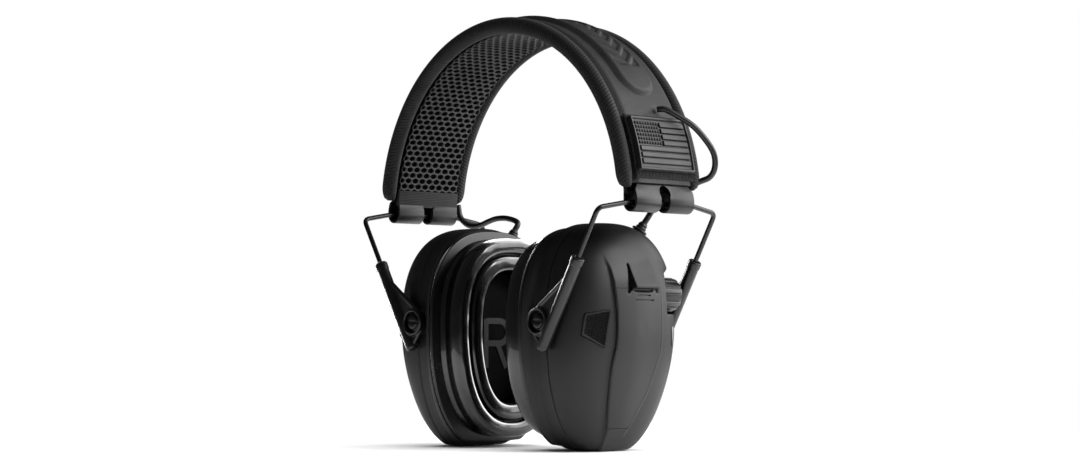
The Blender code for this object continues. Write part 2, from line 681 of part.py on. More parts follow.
def grommet_solid(side):
    """Tapered strain relief: a neck in the casing's hole, a collar and a cone."""
    low, high = GROMMET_PROFILE[0][0], GROMMET_PROFILE[-1][0]
    profile = [((height - low) / (high - low), radius) for height, radius in GROMMET_PROFILE]
    return rod(grommet_axis(low, side), grommet_axis(high, side), profile, 12)


def rim_solid():
    outer = [cup_ring(x, RIM_HALF_WIDTH, RIM_Z[1], RIM_Z[0], RIM_FLOOR) for x in RIM_X]
    inner = [cup_ring(x, *EAR_WINDOW) for x in (RIM_X[0] - MM, RIM_X[1] + MM)]
    return boolean(loft(outer), loft(inner))


def cushion_solid():
    """Two-ridged gel seal: a profile of (half width, top, foot, x) carried round the ear opening."""
    back = RIM_X[0] - GAP
    profile = ((20.0, 84.0, 20.0, back / MM), (20.0, 84.0, 20.0, 16.0), (22.5, 86.5, 17.5, 14.0),
               (26.8, 90.3, 13.2, 14.0), (29.0, 92.5, 11.0, 16.6), (31.0, 94.5, 9.0, 14.9),
               (34.5, 98.0, 6.0, 15.3), (36.0, 99.6, 4.2, 18.5), (36.0, 99.6, 4.2, back / MM))
    loops = [cup_ring(x * MM, half * MM, top * MM, foot * MM) for half, top, foot, x in profile]
    rings = [[loop[step] for loop in loops] for step in range(OUTLINE_STEPS)]
    return loft(rings, joined=True)


def slab_solid(near, far, half, top, foot):
    return loft([cup_ring(x, half, top, foot) for x in (near, far)])


def ribbed_knob():
    """Thumbwheel with ribs along its axis and a spindle into the potentiometer."""
    low, high = KNOB_Y
    rings = []
    width, drop = KNOB_CHAMFER
    for y, rise in ((low, -drop), (low + width, 0.0), (high - width, 0.0), (high, -drop)):
        ring = []
        for step in range(2 * KNOB_RIBS):
            radius = KNOB_RADIUS + rise - KNOB_RIB_DEPTH * (step % 2)
            angle = math.pi * step / KNOB_RIBS
            ring.append((KNOB_X + radius * math.cos(angle), y, KNOB_Z + radius * math.sin(angle)))
        rings.append(ring)
    spindle = cylinder((KNOB_X, SPINDLE_START_Y, KNOB_Z), (KNOB_X, low + MM, KNOB_Z), SPINDLE_RADIUS, 12)
    return boolean(loft(rings), spindle, "UNION")


def potentiometer_solid():
    bore = cylinder((KNOB_X, POTENTIOMETER_BORE_Y, KNOB_Z), (KNOB_X, NOTCH_Y, KNOB_Z), SPINDLE_BORE, 12)
    return boolean(box(*POTENTIOMETER), bore)


def build_cup(name, side, frame):
    def add(suffix, solid, finish):
        piece(name + "_" + suffix, solid, finish, frame, side)

    add("outer_shell", outer_shell_solid(side), "shell")
    add("base_shell", base_shell_solid(side), "shell")
    add("rim_plate", rim_solid(), "shell")
    add("gel_cushion", cushion_solid(), "gel")
    add("ear_cloth", slab_solid(*CLOTH_X, *FOAM_SIZE), "cloth")
    add("foam_insert", slab_solid(*FOAM_X, *FOAM_SIZE), "foam")
    start, end = ((x, 0.0, SPEAKER_Z) for x in SPEAKER_X)
    add("speaker", rod(start, end, SPEAKER_PROFILE, 24), "screw")
    add("circuit_board", box(*CIRCUIT_BOARD), "electronics")
    add("mic_grille", grille_prism(0.0, *GRILLE_DEPTH), "mesh")
    start, end = (grille_point(depth) for depth in MICROPHONE_DEPTH)
    add("microphone", cylinder(start, end, MICROPHONE_RADIUS, 14), "screw")
    add("cable_grommet", grommet_solid(side), "rubber")
    for place, end in (("front", -1), ("rear", 1)):
        add(place + "_pivot_screw", screw_solid(end), "screw")
    if side > 0:
        add("potentiometer", potentiometer_solid(), "electronics")
        for label, y in BATTERIES_Y:
            start, end = ((BATTERY_X, y, z) for z in BATTERY_Z)
            add("battery_" + label, cylinder(start, end, BATTERY_RADIUS, 14), "battery")


# ---------------------------------------------------------------- leads

LEFT_ROUTE = [(59.0, 18.5, 112.0), (65.5, 12.0, 112.3), (71.5, 5.2, 110.3), (75.3, 1.2, 110.4),
              (76.6, 0.0, 113.0), (76.6, 0.0, 116.4)]
RIGHT_ROUTE = [(-44.0, 24.5, 111.0), (-51.0, 24.0, 111.2), (-57.0, 24.0, 110.0), (-63.0, 24.0, 108.3),
               (-68.5, 24.0, 107.9), (-73.0, 23.5, 109.3), (-76.3, 22.6, 113.0), (-77.3, 22.0, 118.9)]
LOOP_ROUTE = [(82.3, 25.7, 124.0), (86.0, 27.6, 125.8), (88.6, 28.0, 130.0),
              (89.5, 26.5, 136.0), (88.2, 22.8, 142.0), (85.2, 17.2, 148.6), (81.2, 11.2, 153.2),
              (77.4, 6.4, 156.2), (74.5, 4.2, 156.2)]
LEAD_RISE = 9.5 * MM


def lead(name, points, frame):
    """Free lead along a smooth curve through its points."""
    tube(name, smooth_route(points, LEAD_SPACING), LEAD_RADIUS, "rubber", frame)


def build_leads(frame):
    """Routes are lists of points in millimetres; the first two points follow the grommet's axis."""
    for name, side, route in (("left", 1, LEFT_ROUTE), ("right", -1, RIGHT_ROUTE)):
        starts = [grommet_axis(height, side) for height in (LEAD_START, LEAD_RISE)]
        starts = [Vector((side * point.x, point.y, point.z)) for point in starts]
        lead(name + "_lead", starts + [Vector(point) * MM for point in route], frame)
    lead("headband_lead_loop", [Vector(point) * MM for point in LOOP_ROUTE], frame)


# ---------------------------------------------------------------- assembly

def build():
    clear_scene()
    headband = joint_frame("headband", (0.0, 0.0, 0.0))
    build_headband(headband)
    build_leads(headband)
    for name, side in (("left", 1), ("right", -1)):
        yoke = joint_frame(name + "_yoke", (side * HOOK_X, 0.0, HOOK_Z), headband)
        build_yoke_wire(name + "_yoke_wire", yoke, side)
        arms = joint_frame(name + "_arms", (side * TUBE_TOP[0], 0.0, TUBE_TOP[1]), yoke)
        for place, end in (("front", -1), ("rear", 1)):
            piece(name + "_" + place + "_arm", arm_solid(end), "arm", arms, side)
        cup = joint_frame(name + "_cup", (side * PIVOT[0], 0.0, PIVOT[1]), arms)
        build_cup(name, side, cup)
        if side > 0:
            knob = joint_frame("volume_knob_axis", (KNOB_X, 0.0, KNOB_Z), cup)
            piece("left_volume_knob", ribbed_knob(), "rubber", knob)
            door = door_solid()
            hinge_x = max(vert.co.x for vert in door.verts if vert.co.z < DOOR_FOOT_Z + GAP)
            hinge = joint_frame("battery_door_axis", (hinge_x, 0.0, DOOR_FOOT_Z), cup)
            piece("left_battery_door", door, "shell", hinge)


build()
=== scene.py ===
"""Looks of the folding earmuff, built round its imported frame.

Lengths are in millimetres in the shape functions and become metres when a mesh is made.
The wearer's left is +X and the front is -Y. Each side is drawn for +X and mirrored.
"""

import json
import math

import bmesh
import bpy
from mathutils import Matrix, Vector, noise

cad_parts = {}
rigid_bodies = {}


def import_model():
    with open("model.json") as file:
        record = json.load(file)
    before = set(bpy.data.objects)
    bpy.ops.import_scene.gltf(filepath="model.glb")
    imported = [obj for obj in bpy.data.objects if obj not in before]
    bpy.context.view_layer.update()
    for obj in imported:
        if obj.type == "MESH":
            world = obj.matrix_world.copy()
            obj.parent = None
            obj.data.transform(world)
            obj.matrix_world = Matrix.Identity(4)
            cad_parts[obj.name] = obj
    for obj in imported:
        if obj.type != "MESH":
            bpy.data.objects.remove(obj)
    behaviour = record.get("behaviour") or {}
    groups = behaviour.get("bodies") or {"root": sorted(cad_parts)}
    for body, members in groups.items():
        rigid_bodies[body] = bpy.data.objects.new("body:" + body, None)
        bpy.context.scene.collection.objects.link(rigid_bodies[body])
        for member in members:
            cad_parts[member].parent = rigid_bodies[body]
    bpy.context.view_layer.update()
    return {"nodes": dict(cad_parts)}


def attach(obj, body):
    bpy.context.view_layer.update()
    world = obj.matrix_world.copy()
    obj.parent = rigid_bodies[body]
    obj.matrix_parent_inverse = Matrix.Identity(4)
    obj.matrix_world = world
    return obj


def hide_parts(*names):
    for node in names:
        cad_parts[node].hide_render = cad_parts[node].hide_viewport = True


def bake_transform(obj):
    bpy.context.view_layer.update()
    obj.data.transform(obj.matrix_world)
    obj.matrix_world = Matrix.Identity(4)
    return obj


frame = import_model()

MM = 0.001
SIDES = (("left", 1), ("right", -1))

# Camera, room and floor, in metres
CAMERA_PLACE, CAMERA_TARGET = (0.8485, -0.8485, 0.050), (0.0015, 0.0015, 0.1008)
CAMERA_LENS = 84.0
LIGHT_TARGET = (0.0, 0.0, 0.10)
ROOM_LIGHT = 0.07
FLOOR_REACH, FLOOR_Z = 0.33, -0.0004
SKY_PANEL_POWER, SKY_PANEL_SPREAD = 3.9, math.radians(70.0)

# Headband: half an ellipse, with layers given as lift outwards from its centre line
HALF_SPAN = 80.0
ARC_RISE = 86.5
ARC_BASE_Z = 112.6
STRAP_HALF = 19.6
STRAP_END_Z = 121.2
MESH_END_Z = 124.3
ROLL_Y = 22.9
ROLL_WIDE, ROLL_HIGH = 3.3, 3.95
ROLL_LIFT = -0.3
ROLL_END_Z = 119.5
CROWN_END_Z = 160.0
CROWN_HALF = 12.5
PAD_END_Z, STRIP_FOOT_Z = 117.9, 116.7
PANEL_Z, PATCH_Z = (123.0, 151.3), (126.2, 149.6)
STRAP_RADIUS, PATCH_RADIUS = 84.0, 84.5

# Hooks, yokes and arms
HOOK_X, HOOK_Z = 79.5, 112.6
HOOK_RADIUS = 3.6
HOOK_HALF = 19.5
STEEL_LIFT = 0.9
STEEL_THICKNESS = 1.2
STEEL_HALF = 17.3
MESH_THICKNESS = 0.55
KEYHOLE_Z = 117.2
KEYHOLE_RADIUS = 3.6
KEYHOLE_HALF = 3.0
WIRE_RADIUS = 1.15
LEG_Y = 39.5
EYELET_Y, WEB_Y = (37.1, 41.9), (38.8, 40.0)
LEG_SHOWN = 25.0
TUBE_TOP = Vector((66.5, 87.7))
TUBE_FOOT = Vector((43.35, 46.1))
PIVOT_X, PIVOT_Z = 42.0, 59.25

# Cups
CUP_TOP, WIDEST_Z, CUP_FOOT = 105.0, 57.0, -3.0
TOP_POWER, FOOT_POWER, DOME_POWER = 2.5, 2.35, 2.8
DOME_TAPER, DOME_TAPER_END_Z = 0.28, 5.0
SHELL_HALF = 36.2
RIM_HALF, RIM_TOP, RIM_FOOT, RIM_FLOOR = 40.6, 103.4, -2.0, 2.2
WALL = 2.2
DOME_START, DOME_DEPTH = 43.0, 25.5
KNOB_X, KNOB_Z, KNOB_RADIUS = 56.0, 72.0, 8.0
KNOB_Y = (21.0, 34.0)
GRILLE = Vector((64.2, -25.7, 56.8))
GRILLE_TURN, GRILLE_LEAN = math.radians(-29.0), math.radians(-9.5)
GRILLE_HALF, GRILLE_SHORT, GRILLE_TALL = 6.0, 4.85, 8.7
GRILLE_THICKNESS = 0.5
GROMMETS = {1: (Vector((51.0, 17.0, 101.2)), Vector((0.35, 0.42, 0.84)).normalized()),
            -1: (Vector((37.0, 20.0, 100.3)), Vector((0.0, 0.47, 0.88)).normalized())}
NOTCH = [(19.6, 62.9), (45.0, 62.9), (45.0, 87.6), (33.5, 86.2), (27.0, 84.4), (19.6, 81.6)]
DOOR_SEAM, DOOR_THICKNESS = 0.17, 2.0
SPINE_PROUD = 1.5
DOOR_FRONT = [(-17.2, 74.2), (-16.3, 63.0), (-16.2, 50.0), (-17.1, 38.0), (-15.2, 24.0), (-12.2, 10.4)]
DOOR_REAR = [(1.2, 10.4), (9.4, 26.5), (14.2, 46.0), (14.2, 74.2)]
RIDGE_TOP = [(-19.5, 93.0), (-18.0, 84.0)]
RIDGE_FOOT = [(-11.3, 6.0), (-9.8, -4.0)]
BATTERY_X, BATTERY_Z = 53.1, (21.5, 66.0)
BATTERY_Y = {"front": -6.4, "rear": 5.0}
LEAD_RADIUS = 1.4
FINE_VOXEL = 0.5


# ---------------------------------------------------------------- camera, lights, floor

def look_from(place, target):
    return (Vector(target) - Vector(place)).to_track_quat("-Z", "Y").to_euler()


def build_camera():
    data = bpy.data.cameras.new("camera")
    data.lens = CAMERA_LENS
    data.sensor_width = 36.0
    data.clip_start = 0.05
    made = bpy.data.objects.new("camera", data)
    bpy.context.scene.collection.objects.link(made)
    made.location = CAMERA_PLACE
    made.rotation_euler = look_from(CAMERA_PLACE, CAMERA_TARGET)
    bpy.context.scene.camera = made


def softbox(name, place, size, power):
    data = bpy.data.lights.new(name, "AREA")
    data.shape = "RECTANGLE"
    data.size, data.size_y = size
    data.energy = power
    made = bpy.data.objects.new(name, data)
    bpy.context.scene.collection.objects.link(made)
    made.location = place
    made.rotation_euler = look_from(place, LIGHT_TARGET)
    made.visible_camera = False
    return made


def light_only(lamp, name, paints):
    """Limits a lamp to the pieces that wear some of the materials."""
    group = bpy.data.collections.new(name)
    chosen = [PAINT[paint] for paint in paints]
    for item in bpy.data.objects:
        if item.type == "MESH" and item.data.materials and item.data.materials[0] in chosen:
            group.objects.link(item)
    lamp.light_linking.receiver_collection = group


def build_lights():
    softbox("overhead_box", (0.25, 0.20, 0.85), (0.5, 0.5), 0.6)
    softbox("key_box", (0.85, 0.35, 0.62), (0.45, 0.45), 8.0)
    softbox("right_panel", (0.45, 0.85, 0.40), (0.9, 0.7), 8.0)
    strip = softbox("left_strip", (-0.80, 0.02, 0.28), (0.12, 0.9), 15.0)
    light_only(strip, "edge_lit", ("rim", "arm"))
    reflection = softbox("seal_reflection_box", (-0.15, 0.80, 0.60), (1.5, 1.2), 34.0)
    light_only(reflection, "seal_lit", ("gel",))
    world = bpy.data.worlds.new("studio")
    bpy.context.scene.world = world
    world.use_nodes = True
    nodes, links = world.node_tree.nodes, world.node_tree.links
    nodes.clear()
    seen, lit = (nodes.new("ShaderNodeBackground") for _ in range(2))
    for backdrop, strength in ((seen, 1.0), (lit, ROOM_LIGHT)):
        backdrop.inputs["Color"].default_value = (1.0, 1.0, 1.0, 1.0)
        backdrop.inputs["Strength"].default_value = strength
    path = nodes.new("ShaderNodeLightPath")
    mix = nodes.new("ShaderNodeMixShader")
    out = nodes.new("ShaderNodeOutputWorld")
    links.new(path.outputs["Is Camera Ray"], mix.inputs["Fac"])
    links.new(lit.outputs[0], mix.inputs[1])
    links.new(seen.outputs[0], mix.inputs[2])
    links.new(mix.outputs[0], out.inputs["Surface"])
    bpy.context.scene.view_settings.view_transform = "Standard"


def build_floor():
    """Pale floor with a faint gloss, lit by a broad light of its own."""
    mesh = bpy.data.meshes.new("floor")
    corners = [(x * FLOOR_REACH, y * FLOOR_REACH, FLOOR_Z) for x, y in ((-1, -1), (1, -1), (1, 1), (-1, 1))]
    mesh.from_pydata(corners, [], [(0, 1, 2, 3)])
    made = bpy.data.objects.new("floor", mesh)
    bpy.context.scene.collection.objects.link(made)
    paint = bpy.data.materials.new("pale_floor")
    paint.use_nodes = True
    nodes, links = paint.node_tree.nodes, paint.node_tree.links
    nodes.clear()
    matt = nodes.new("ShaderNodeBsdfDiffuse")
    matt.inputs["Color"].default_value = (0.95, 0.95, 0.95, 1.0)
    gloss = nodes.new("ShaderNodeBsdfAnisotropic")
    gloss.inputs["Roughness"].default_value = 0.12
    both = nodes.new("ShaderNodeMixShader")
    both.inputs["Fac"].default_value = 0.06
    out = nodes.new("ShaderNodeOutputMaterial")
    links.new(matt.outputs[0], both.inputs[1])
    links.new(gloss.outputs[0], both.inputs[2])
    links.new(both.outputs[0], out.inputs["Surface"])
    mesh.materials.append(paint)
    made.visible_diffuse = False
    only_floor = bpy.data.collections.new("lit_by_sky_panel")
    only_floor.objects.link(made)
    sun = bpy.data.lights.new("sky_panel", "SUN")
    sun.energy = SKY_PANEL_POWER
    sun.angle = SKY_PANEL_SPREAD
    panel = bpy.data.objects.new("sky_panel", sun)
    bpy.context.scene.collection.objects.link(panel)
    panel.light_linking.receiver_collection = only_floor


# ---------------------------------------------------------------- materials

def texture(nodes, links, kind, scale, source, **settings):
    """Noise or Voronoi texture on a coordinate, with its scale in features per metre."""
    made = nodes.new("ShaderNodeTexNoise" if kind == "noise" else "ShaderNodeTexVoronoi")
    made.inputs["Scale"].default_value = scale
    for name, value in settings.items():
        made.inputs[name].default_value = value
    links.new(source, made.inputs["Vector"])
    return made.outputs[0]


def spread(nodes, links, source, low, high):
    """Map a 0.3 to 0.7 texture value onto low to high."""
    made = nodes.new("ShaderNodeMapRange")
    made.inputs["From Min"].default_value = 0.3
    made.inputs["From Max"].default_value = 0.7
    made.inputs["To Min"].default_value = low
    made.inputs["To Max"].default_value = high
    links.new(source, made.inputs["Value"])
    return made.outputs["Result"]


def maths(nodes, links, operation, first, second=None):
    made = nodes.new("ShaderNodeMath")
    made.operation = operation
    for slot, value in zip(made.inputs, (first, second)):
        if isinstance(value, (int, float)):
            slot.default_value = value
        elif value is not None:
            links.new(value, slot)
    return made.outputs[0]


def stripes(nodes, links, source, direction, pitch):
    """Sine stripes across a direction, one each pitch, from 0 to 1."""
    dot = nodes.new("ShaderNodeVectorMath")
    dot.operation = "DOT_PRODUCT"
    links.new(source, dot.inputs[0])
    dot.inputs[1].default_value = Vector(direction).normalized() * (2.0 * math.pi / pitch)
    wave = maths(nodes, links, "SINE", dot.outputs["Value"])
    return maths(nodes, links, "MULTIPLY_ADD", wave, 0.5)


def look(name, colour, roughness, metallic=0.0, mottle=0.25, blotch=60.0, grain=(3000.0, 0.02),
         grain_kind="noise", ribs=None, rough_spread=0.08, **sockets):
    """Principled material with mottled colour, uneven roughness, a fine grain and, if asked, ribs.

    grain is (features per metre, depth in mm); ribs is (coordinate, direction, pitch, depth in mm).
    """
    paint = bpy.data.materials.new(name)
    paint.use_nodes = True
    nodes, links = paint.node_tree.nodes, paint.node_tree.links
    shader = nodes["Principled BSDF"]
    place = nodes.new("ShaderNodeTexCoord")
    here = place.outputs["Object"]
    wide = texture(nodes, links, "noise", blotch, here, Detail=4.0)
    fine = texture(nodes, links, grain_kind, grain[0], here)
    both = maths(nodes, links, "ADD", maths(nodes, links, "MULTIPLY", wide, 0.55),
                 maths(nodes, links, "MULTIPLY", fine, 0.45))
    tone = nodes.new("ShaderNodeMix")
    tone.data_type = "RGBA"
    dark = [channel * (1.0 - mottle) for channel in colour]
    light = [channel * (1.0 + mottle) for channel in colour]
    tone.inputs["A"].default_value = (*dark, 1.0)
    tone.inputs["B"].default_value = (*light, 1.0)
    links.new(spread(nodes, links, both, 0.0, 1.0), tone.inputs["Factor"])
    links.new(tone.outputs["Result"], shader.inputs["Base Color"])
    links.new(spread(nodes, links, wide, roughness - rough_spread, roughness + rough_spread),
              shader.inputs["Roughness"])
    shader.inputs["Metallic"].default_value = metallic
    bump = nodes.new("ShaderNodeBump")
    bump.inputs["Strength"].default_value = 1.0
    bump.inputs["Distance"].default_value = grain[1] * MM
    links.new(fine, bump.inputs["Height"])
    if ribs:
        coordinate, direction, pitch, depth = ribs
        ridge = nodes.new("ShaderNodeBump")
        ridge.inputs["Distance"].default_value = depth * MM
        wave = stripes(nodes, links, place.outputs[coordinate], direction, pitch)
        links.new(wave, ridge.inputs["Height"])
        links.new(bump.outputs["Normal"], ridge.inputs["Normal"])
        bump = ridge
    links.new(bump.outputs["Normal"], shader.inputs["Normal"])
    for socket, value in sockets.items():
        shader.inputs[socket.replace("_", " ")].default_value = value
    return paint


def build_materials():
    def grey(value):
        return (value, value, value * 1.03)

    return {
        "steel": look("steel", grey(0.008), 0.42, 0.2, mottle=0.15, grain=(2500.0, 0.008)),
        "skin": look("skin", grey(0.017), 0.60, mottle=0.5, grain=(2400.0, 0.10), grain_kind="voronoi"),
        "twill": look("twill", grey(0.011), 0.72, mottle=0.3, grain=(4000.0, 0.05),
                      ribs=("UV", (1.0, 1.0, 0.0), 1.15, 0.16), Sheen_Weight=0.10, Sheen_Roughness=0.5),
        "tape": look("tape", grey(0.012), 0.75, mottle=0.3, grain=(4000.0, 0.05),
                     ribs=("UV", (1.0, 0.0, 0.0), 0.8, 0.10), Sheen_Weight=0.1),
        "mesh": look("mesh", grey(0.020), 0.55, mottle=0.3, grain=(5000.0, 0.05), Sheen_Weight=0.25),
        "foam": look("foam", grey(0.003), 0.95, mottle=0.5, grain=(1400.0, 0.3), grain_kind="voronoi",
                     Specular_IOR_Level=0.1),
        "loop": look("loop", grey(0.005), 0.95, mottle=0.8, grain=(2200.0, 0.35), Sheen_Weight=0.15),
        "patch": look("patch", grey(0.022), 0.48, mottle=0.15, grain=(3500.0, 0.012)),
        "shell": look("shell", grey(0.014), 0.50, mottle=0.08, grain=(5200.0, 0.010), grain_kind="voronoi",
                      rough_spread=0.03, Specular_IOR_Level=0.4),
        "rim": look("rim", grey(0.010), 0.30, mottle=0.08, grain=(4000.0, 0.006), rough_spread=0.04),
        "arm": look("arm", grey(0.011), 0.36, mottle=0.10, grain=(4500.0, 0.008), rough_spread=0.04),
        "wire": look("wire", grey(0.010), 0.28, 0.2, mottle=0.08, grain=(3000.0, 0.003), rough_spread=0.03),
        "gel": look("gel", grey(0.003), 0.22, mottle=0.2, grain=(900.0, 0.004), rough_spread=0.03,
                    Coat_Weight=0.6, Coat_Roughness=0.05),
        "cloth": look("cloth", grey(0.0025), 0.92, mottle=0.5, grain=(2500.0, 0.12), grain_kind="voronoi",
                      Specular_IOR_Level=0.2),
        "print": look("print", grey(0.10), 0.85, mottle=0.35, grain=(2500.0, 0.10), grain_kind="voronoi"),
        "mark": look("mark", grey(0.35), 0.55, mottle=0.10, grain=(3000.0, 0.005)),
        "screw": look("screw", grey(0.008), 0.32, 0.2, mottle=0.1, grain=(3000.0, 0.004)),
        "speaker": look("speaker", grey(0.05), 0.45, 0.3, grain=(2000.0, 0.02)),
        "board": look("board", (0.02, 0.09, 0.04), 0.45, mottle=0.2, grain=(1200.0, 0.03)),
        "grille": look("grille", grey(0.004), 0.40, 0.3, grain=(3000.0, 0.01)),
        "cable": look("cable", grey(0.010), 0.42, mottle=0.12, grain=(2500.0, 0.008)),
        "knob": look("knob", grey(0.011), 0.36, mottle=0.10, grain=(3500.0, 0.010)),
        "battery": look("battery", grey(0.30), 0.30, 0.6, mottle=0.1, grain=(2000.0, 0.005)),
    }


# ---------------------------------------------------------------- mesh helpers

def new_object(name, mesh):
    made = bpy.data.objects.new(name, mesh)
    bpy.context.scene.collection.objects.link(made)
    return made


def surface(name, rows, around=False, along=False, caps=True):
    """Object through rows of points in mm. around closes each row, along joins the last row to the first.

    UVs count millimetres: U along the rows' sequence and V across each row.
    """
    count = len(rows[0])
    verts = [tuple(Vector(point) * MM) for row in rows for point in row]
    faces, corners = [], []
    across = [0.0]
    for a, b in zip(rows[0], rows[0][1:] + rows[0][:1]):
        across.append(across[-1] + (Vector(b) - Vector(a)).length)
    down = [0.0]
    for a, b in zip(rows, rows[1:] + rows[:1]):
        down.append(down[-1] + (Vector(b[0]) - Vector(a[0])).length)
    for row in range(len(rows) if along else len(rows) - 1):
        after = (row + 1) % len(rows)
        for here in range(count if around else count - 1):
            there = (here + 1) % count
            faces.append((row * count + here, row * count + there,
                          after * count + there, after * count + here))
            corners += [(down[row], across[here]), (down[row], across[here + 1]),
                        (down[row + 1], across[here + 1]), (down[row + 1], across[here])]
    if caps and around and not along:
        for ring, turn in ((range(count - 1, -1, -1), 0), (range(count), len(rows) - 1)):
            faces.append(tuple(turn * count + index for index in ring))
            corners += [(down[turn], across[index]) for index in ring]
    mesh = bpy.data.meshes.new(name)
    mesh.from_pydata(verts, [], faces)
    layer = mesh.uv_layers.new(name="mm")
    layer.data.foreach_set("uv", [value for corner in corners for value in corner])
    made = new_object(name, mesh)
    outward(made)
    return made


def from_bmesh(name, solid):
    """Object made of a finished bmesh, which is freed."""
    mesh = bpy.data.meshes.new(name)
    solid.to_mesh(mesh)
    solid.free()
    return new_object(name, mesh)


def add_strand(solid, loops):
    """Closed strand through loops of bmesh vertices."""
    count = len(loops[0])
    for low, high in zip(loops, loops[1:]):
        for k in range(count):
            solid.faces.new((low[k], low[(k + 1) % count], high[(k + 1) % count], high[k]))
    solid.faces.new(loops[0][::-1])
    solid.faces.new(loops[-1])


def outward(item):
    """Turn the faces of a closed mesh outwards."""
    solid = bmesh.new()
    solid.from_mesh(item.data)
    bmesh.ops.recalc_face_normals(solid, faces=solid.faces)
    if solid.calc_volume(signed=True) < 0.0:
        bmesh.ops.reverse_faces(solid, faces=solid.faces)
    solid.to_mesh(item.data)
    solid.free()


def settle(item):
    """Make the modifiers' result the object's own mesh."""
    result = bpy.data.meshes.new_from_object(item.evaluated_get(bpy.context.evaluated_depsgraph_get()))
    item.modifiers.clear()
    item.data = result
    return item


def thicken(item, amount, offset=-1.0):
    """Give an open sheet its thickness in mm; an offset of -1 adds it on the inside."""
    thick = item.modifiers.new("thick", "SOLIDIFY")
    thick.thickness = amount * MM
    thick.offset = offset
    return settle(item)


def cut(item, tool, operation="DIFFERENCE"):
    """Exact Boolean that uses up the tool."""
    change = item.modifiers.new("cut", "BOOLEAN")
    change.operation = operation
    change.solver = "EXACT"
    change.object = tool
    settle(item)
    bpy.data.objects.remove(tool, do_unlink=True)
    return item


def soften(item, voxel, rounds=3):
    """Even remesh of a closed solid, smoothed so that its edges get a moulded radius."""
    remesh = item.modifiers.new("remesh", "REMESH")
    remesh.mode = "VOXEL"
    remesh.voxel_size = voxel * MM
    smooth = item.modifiers.new("smooth", "SMOOTH")
    smooth.factor = 0.5
    smooth.iterations = rounds
    return settle(item)


def bevel(item, width, segments=2, angle=35.0):
    change = item.modifiers.new("bevel", "BEVEL")
    change.width = width * MM
    change.segments = segments
    change.limit_method = "ANGLE"
    change.angle_limit = math.radians(angle)
    return settle(item)


def rod(name, start, end, profile, sides=32):
    """Turned solid along a line in mm; profile is a list of (distance along, radius)."""
    start, end = Vector(start), Vector(end)
    along = (end - start).normalized()
    turn = along.to_track_quat("Z", "Y")
    rows = []
    for distance, radius in profile:
        ring = []
        for step in range(sides):
            angle = 2.0 * math.pi * step / sides
            spoke = Vector((radius * math.cos(angle), radius * math.sin(angle), 0.0))
            ring.append(start + along * distance + turn @ spoke)
        rows.append(ring)
    return surface(name, rows, around=True)


def cylinder(name, start, end, radius, sides=32):
    return rod(name, start, end, ((0.0, radius), ((Vector(end) - Vector(start)).length, radius)), sides)


def prism_x(name, points, low, high):
    return surface(name, [[(x, y, z) for y, z in points] for x in (low, high)], around=True)


def prism_y(name, points, low, high):
    return surface(name, [[(x, y, z) for x, z in points] for y in (low, high)], around=True)


def arc_of(centre, radius, start, end, steps):
    """Points of a circular arc in a plane, angles in degrees."""
    turns = [math.radians(start + (end - start) * step / steps) for step in range(steps + 1)]
    return [(centre[0] + radius * math.cos(turn), centre[1] + radius * math.sin(turn)) for turn in turns]


def smooth_step(low, high, value):
    part = min(1.0, max(0.0, (value - low) / (high - low)))
    return part * part * (3.0 - 2.0 * part)


def route_length(points):
    return sum((b - a).length for a, b in zip(points, points[1:]))


def smooth_route(points, spacing):
    """Points at an even spacing along a Catmull-Rom curve through the given points."""
    points = [Vector(point) for point in points]
    ends = [points[0] * 2.0 - points[1], *points, points[-1] * 2.0 - points[-2]]
    fine = []
    for a, b, c, d in zip(ends, ends[1:], ends[2:], ends[3:]):
        for step in range(20):
            t = step / 20.0
            fine.append(0.5 * (2.0 * b + (c - a) * t + (2.0 * a - 5.0 * b + 4.0 * c - d) * t * t
                               + (3.0 * b - a - 3.0 * c + d) * t * t * t))
    fine.append(points[-1].copy())
    length = route_length(fine)
    count = max(3, round(length / spacing))
    route, gone = [fine[0]], 0.0
    for p, q in zip(fine, fine[1:]):
        gone += (q - p).length
        if gone >= length / count * len(route) and len(route) < count:
            route.append(q)
    return route + [fine[-1]]


def tube(name, points, radius, sides=16):
    """Round bar along a polyline, its rings carried without twist."""
    points = [Vector(point) for point in points]
    rows, normal = [], None
    for here, point in enumerate(points):
        along = (points[min(here + 1, len(points) - 1)] - points[max(here - 1, 0)]).normalized()
        if normal is None:
            normal = along.orthogonal().normalized()
        normal = (normal - along * normal.dot(along)).normalized()
        other = along.cross(normal)
        rows.append([point + (normal * math.cos(turn) + other * math.sin(turn)) * radius
                     for turn in (2.0 * math.pi * step / sides for step in range(sides))])
    return surface(name, rows, around=True)


def filleted(points, radius, steps=8):
    """Polyline with its inner corners rounded by arcs of about a radius."""
    points = [Vector(point) for point in points]
    route = [points[0]]
    for before, corner, after in zip(points, points[1:], points[2:]):
        into, out = (before - corner), (after - corner)
        reach = min(radius, into.length * 0.45, out.length * 0.45)
        start, end = corner + into.normalized() * reach, corner + out.normalized() * reach
        for step in range(steps + 1):
            t = step / steps
            route.append(start * (1 - t) ** 2 + corner * 2.0 * t * (1 - t) + end * t * t)
    return route + [points[-1]]


# ---------------------------------------------------------------- piece helpers

PAINT = {}


def wear(item, body, paint, replaces=(), side=1, angle=40.0):
    """Mirror a finished shape to its side, paint it and let it ride on its body."""
    if side < 0:
        item.data.transform(Matrix.Scale(-1.0, 4, (1.0, 0.0, 0.0)))
        item.data.flip_normals()
    if item.name.split(".")[0] in frame["nodes"]:
        item.name = item.name.split(".")[0] + "_visual"
    item.data.materials.clear()
    item.data.materials.append(PAINT[paint])
    item.data.shade_smooth()
    item.data.set_sharp_from_angle(angle=math.radians(angle))
    if body:
        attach(item, body)
    if replaces:
        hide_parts(*replaces)
    return item


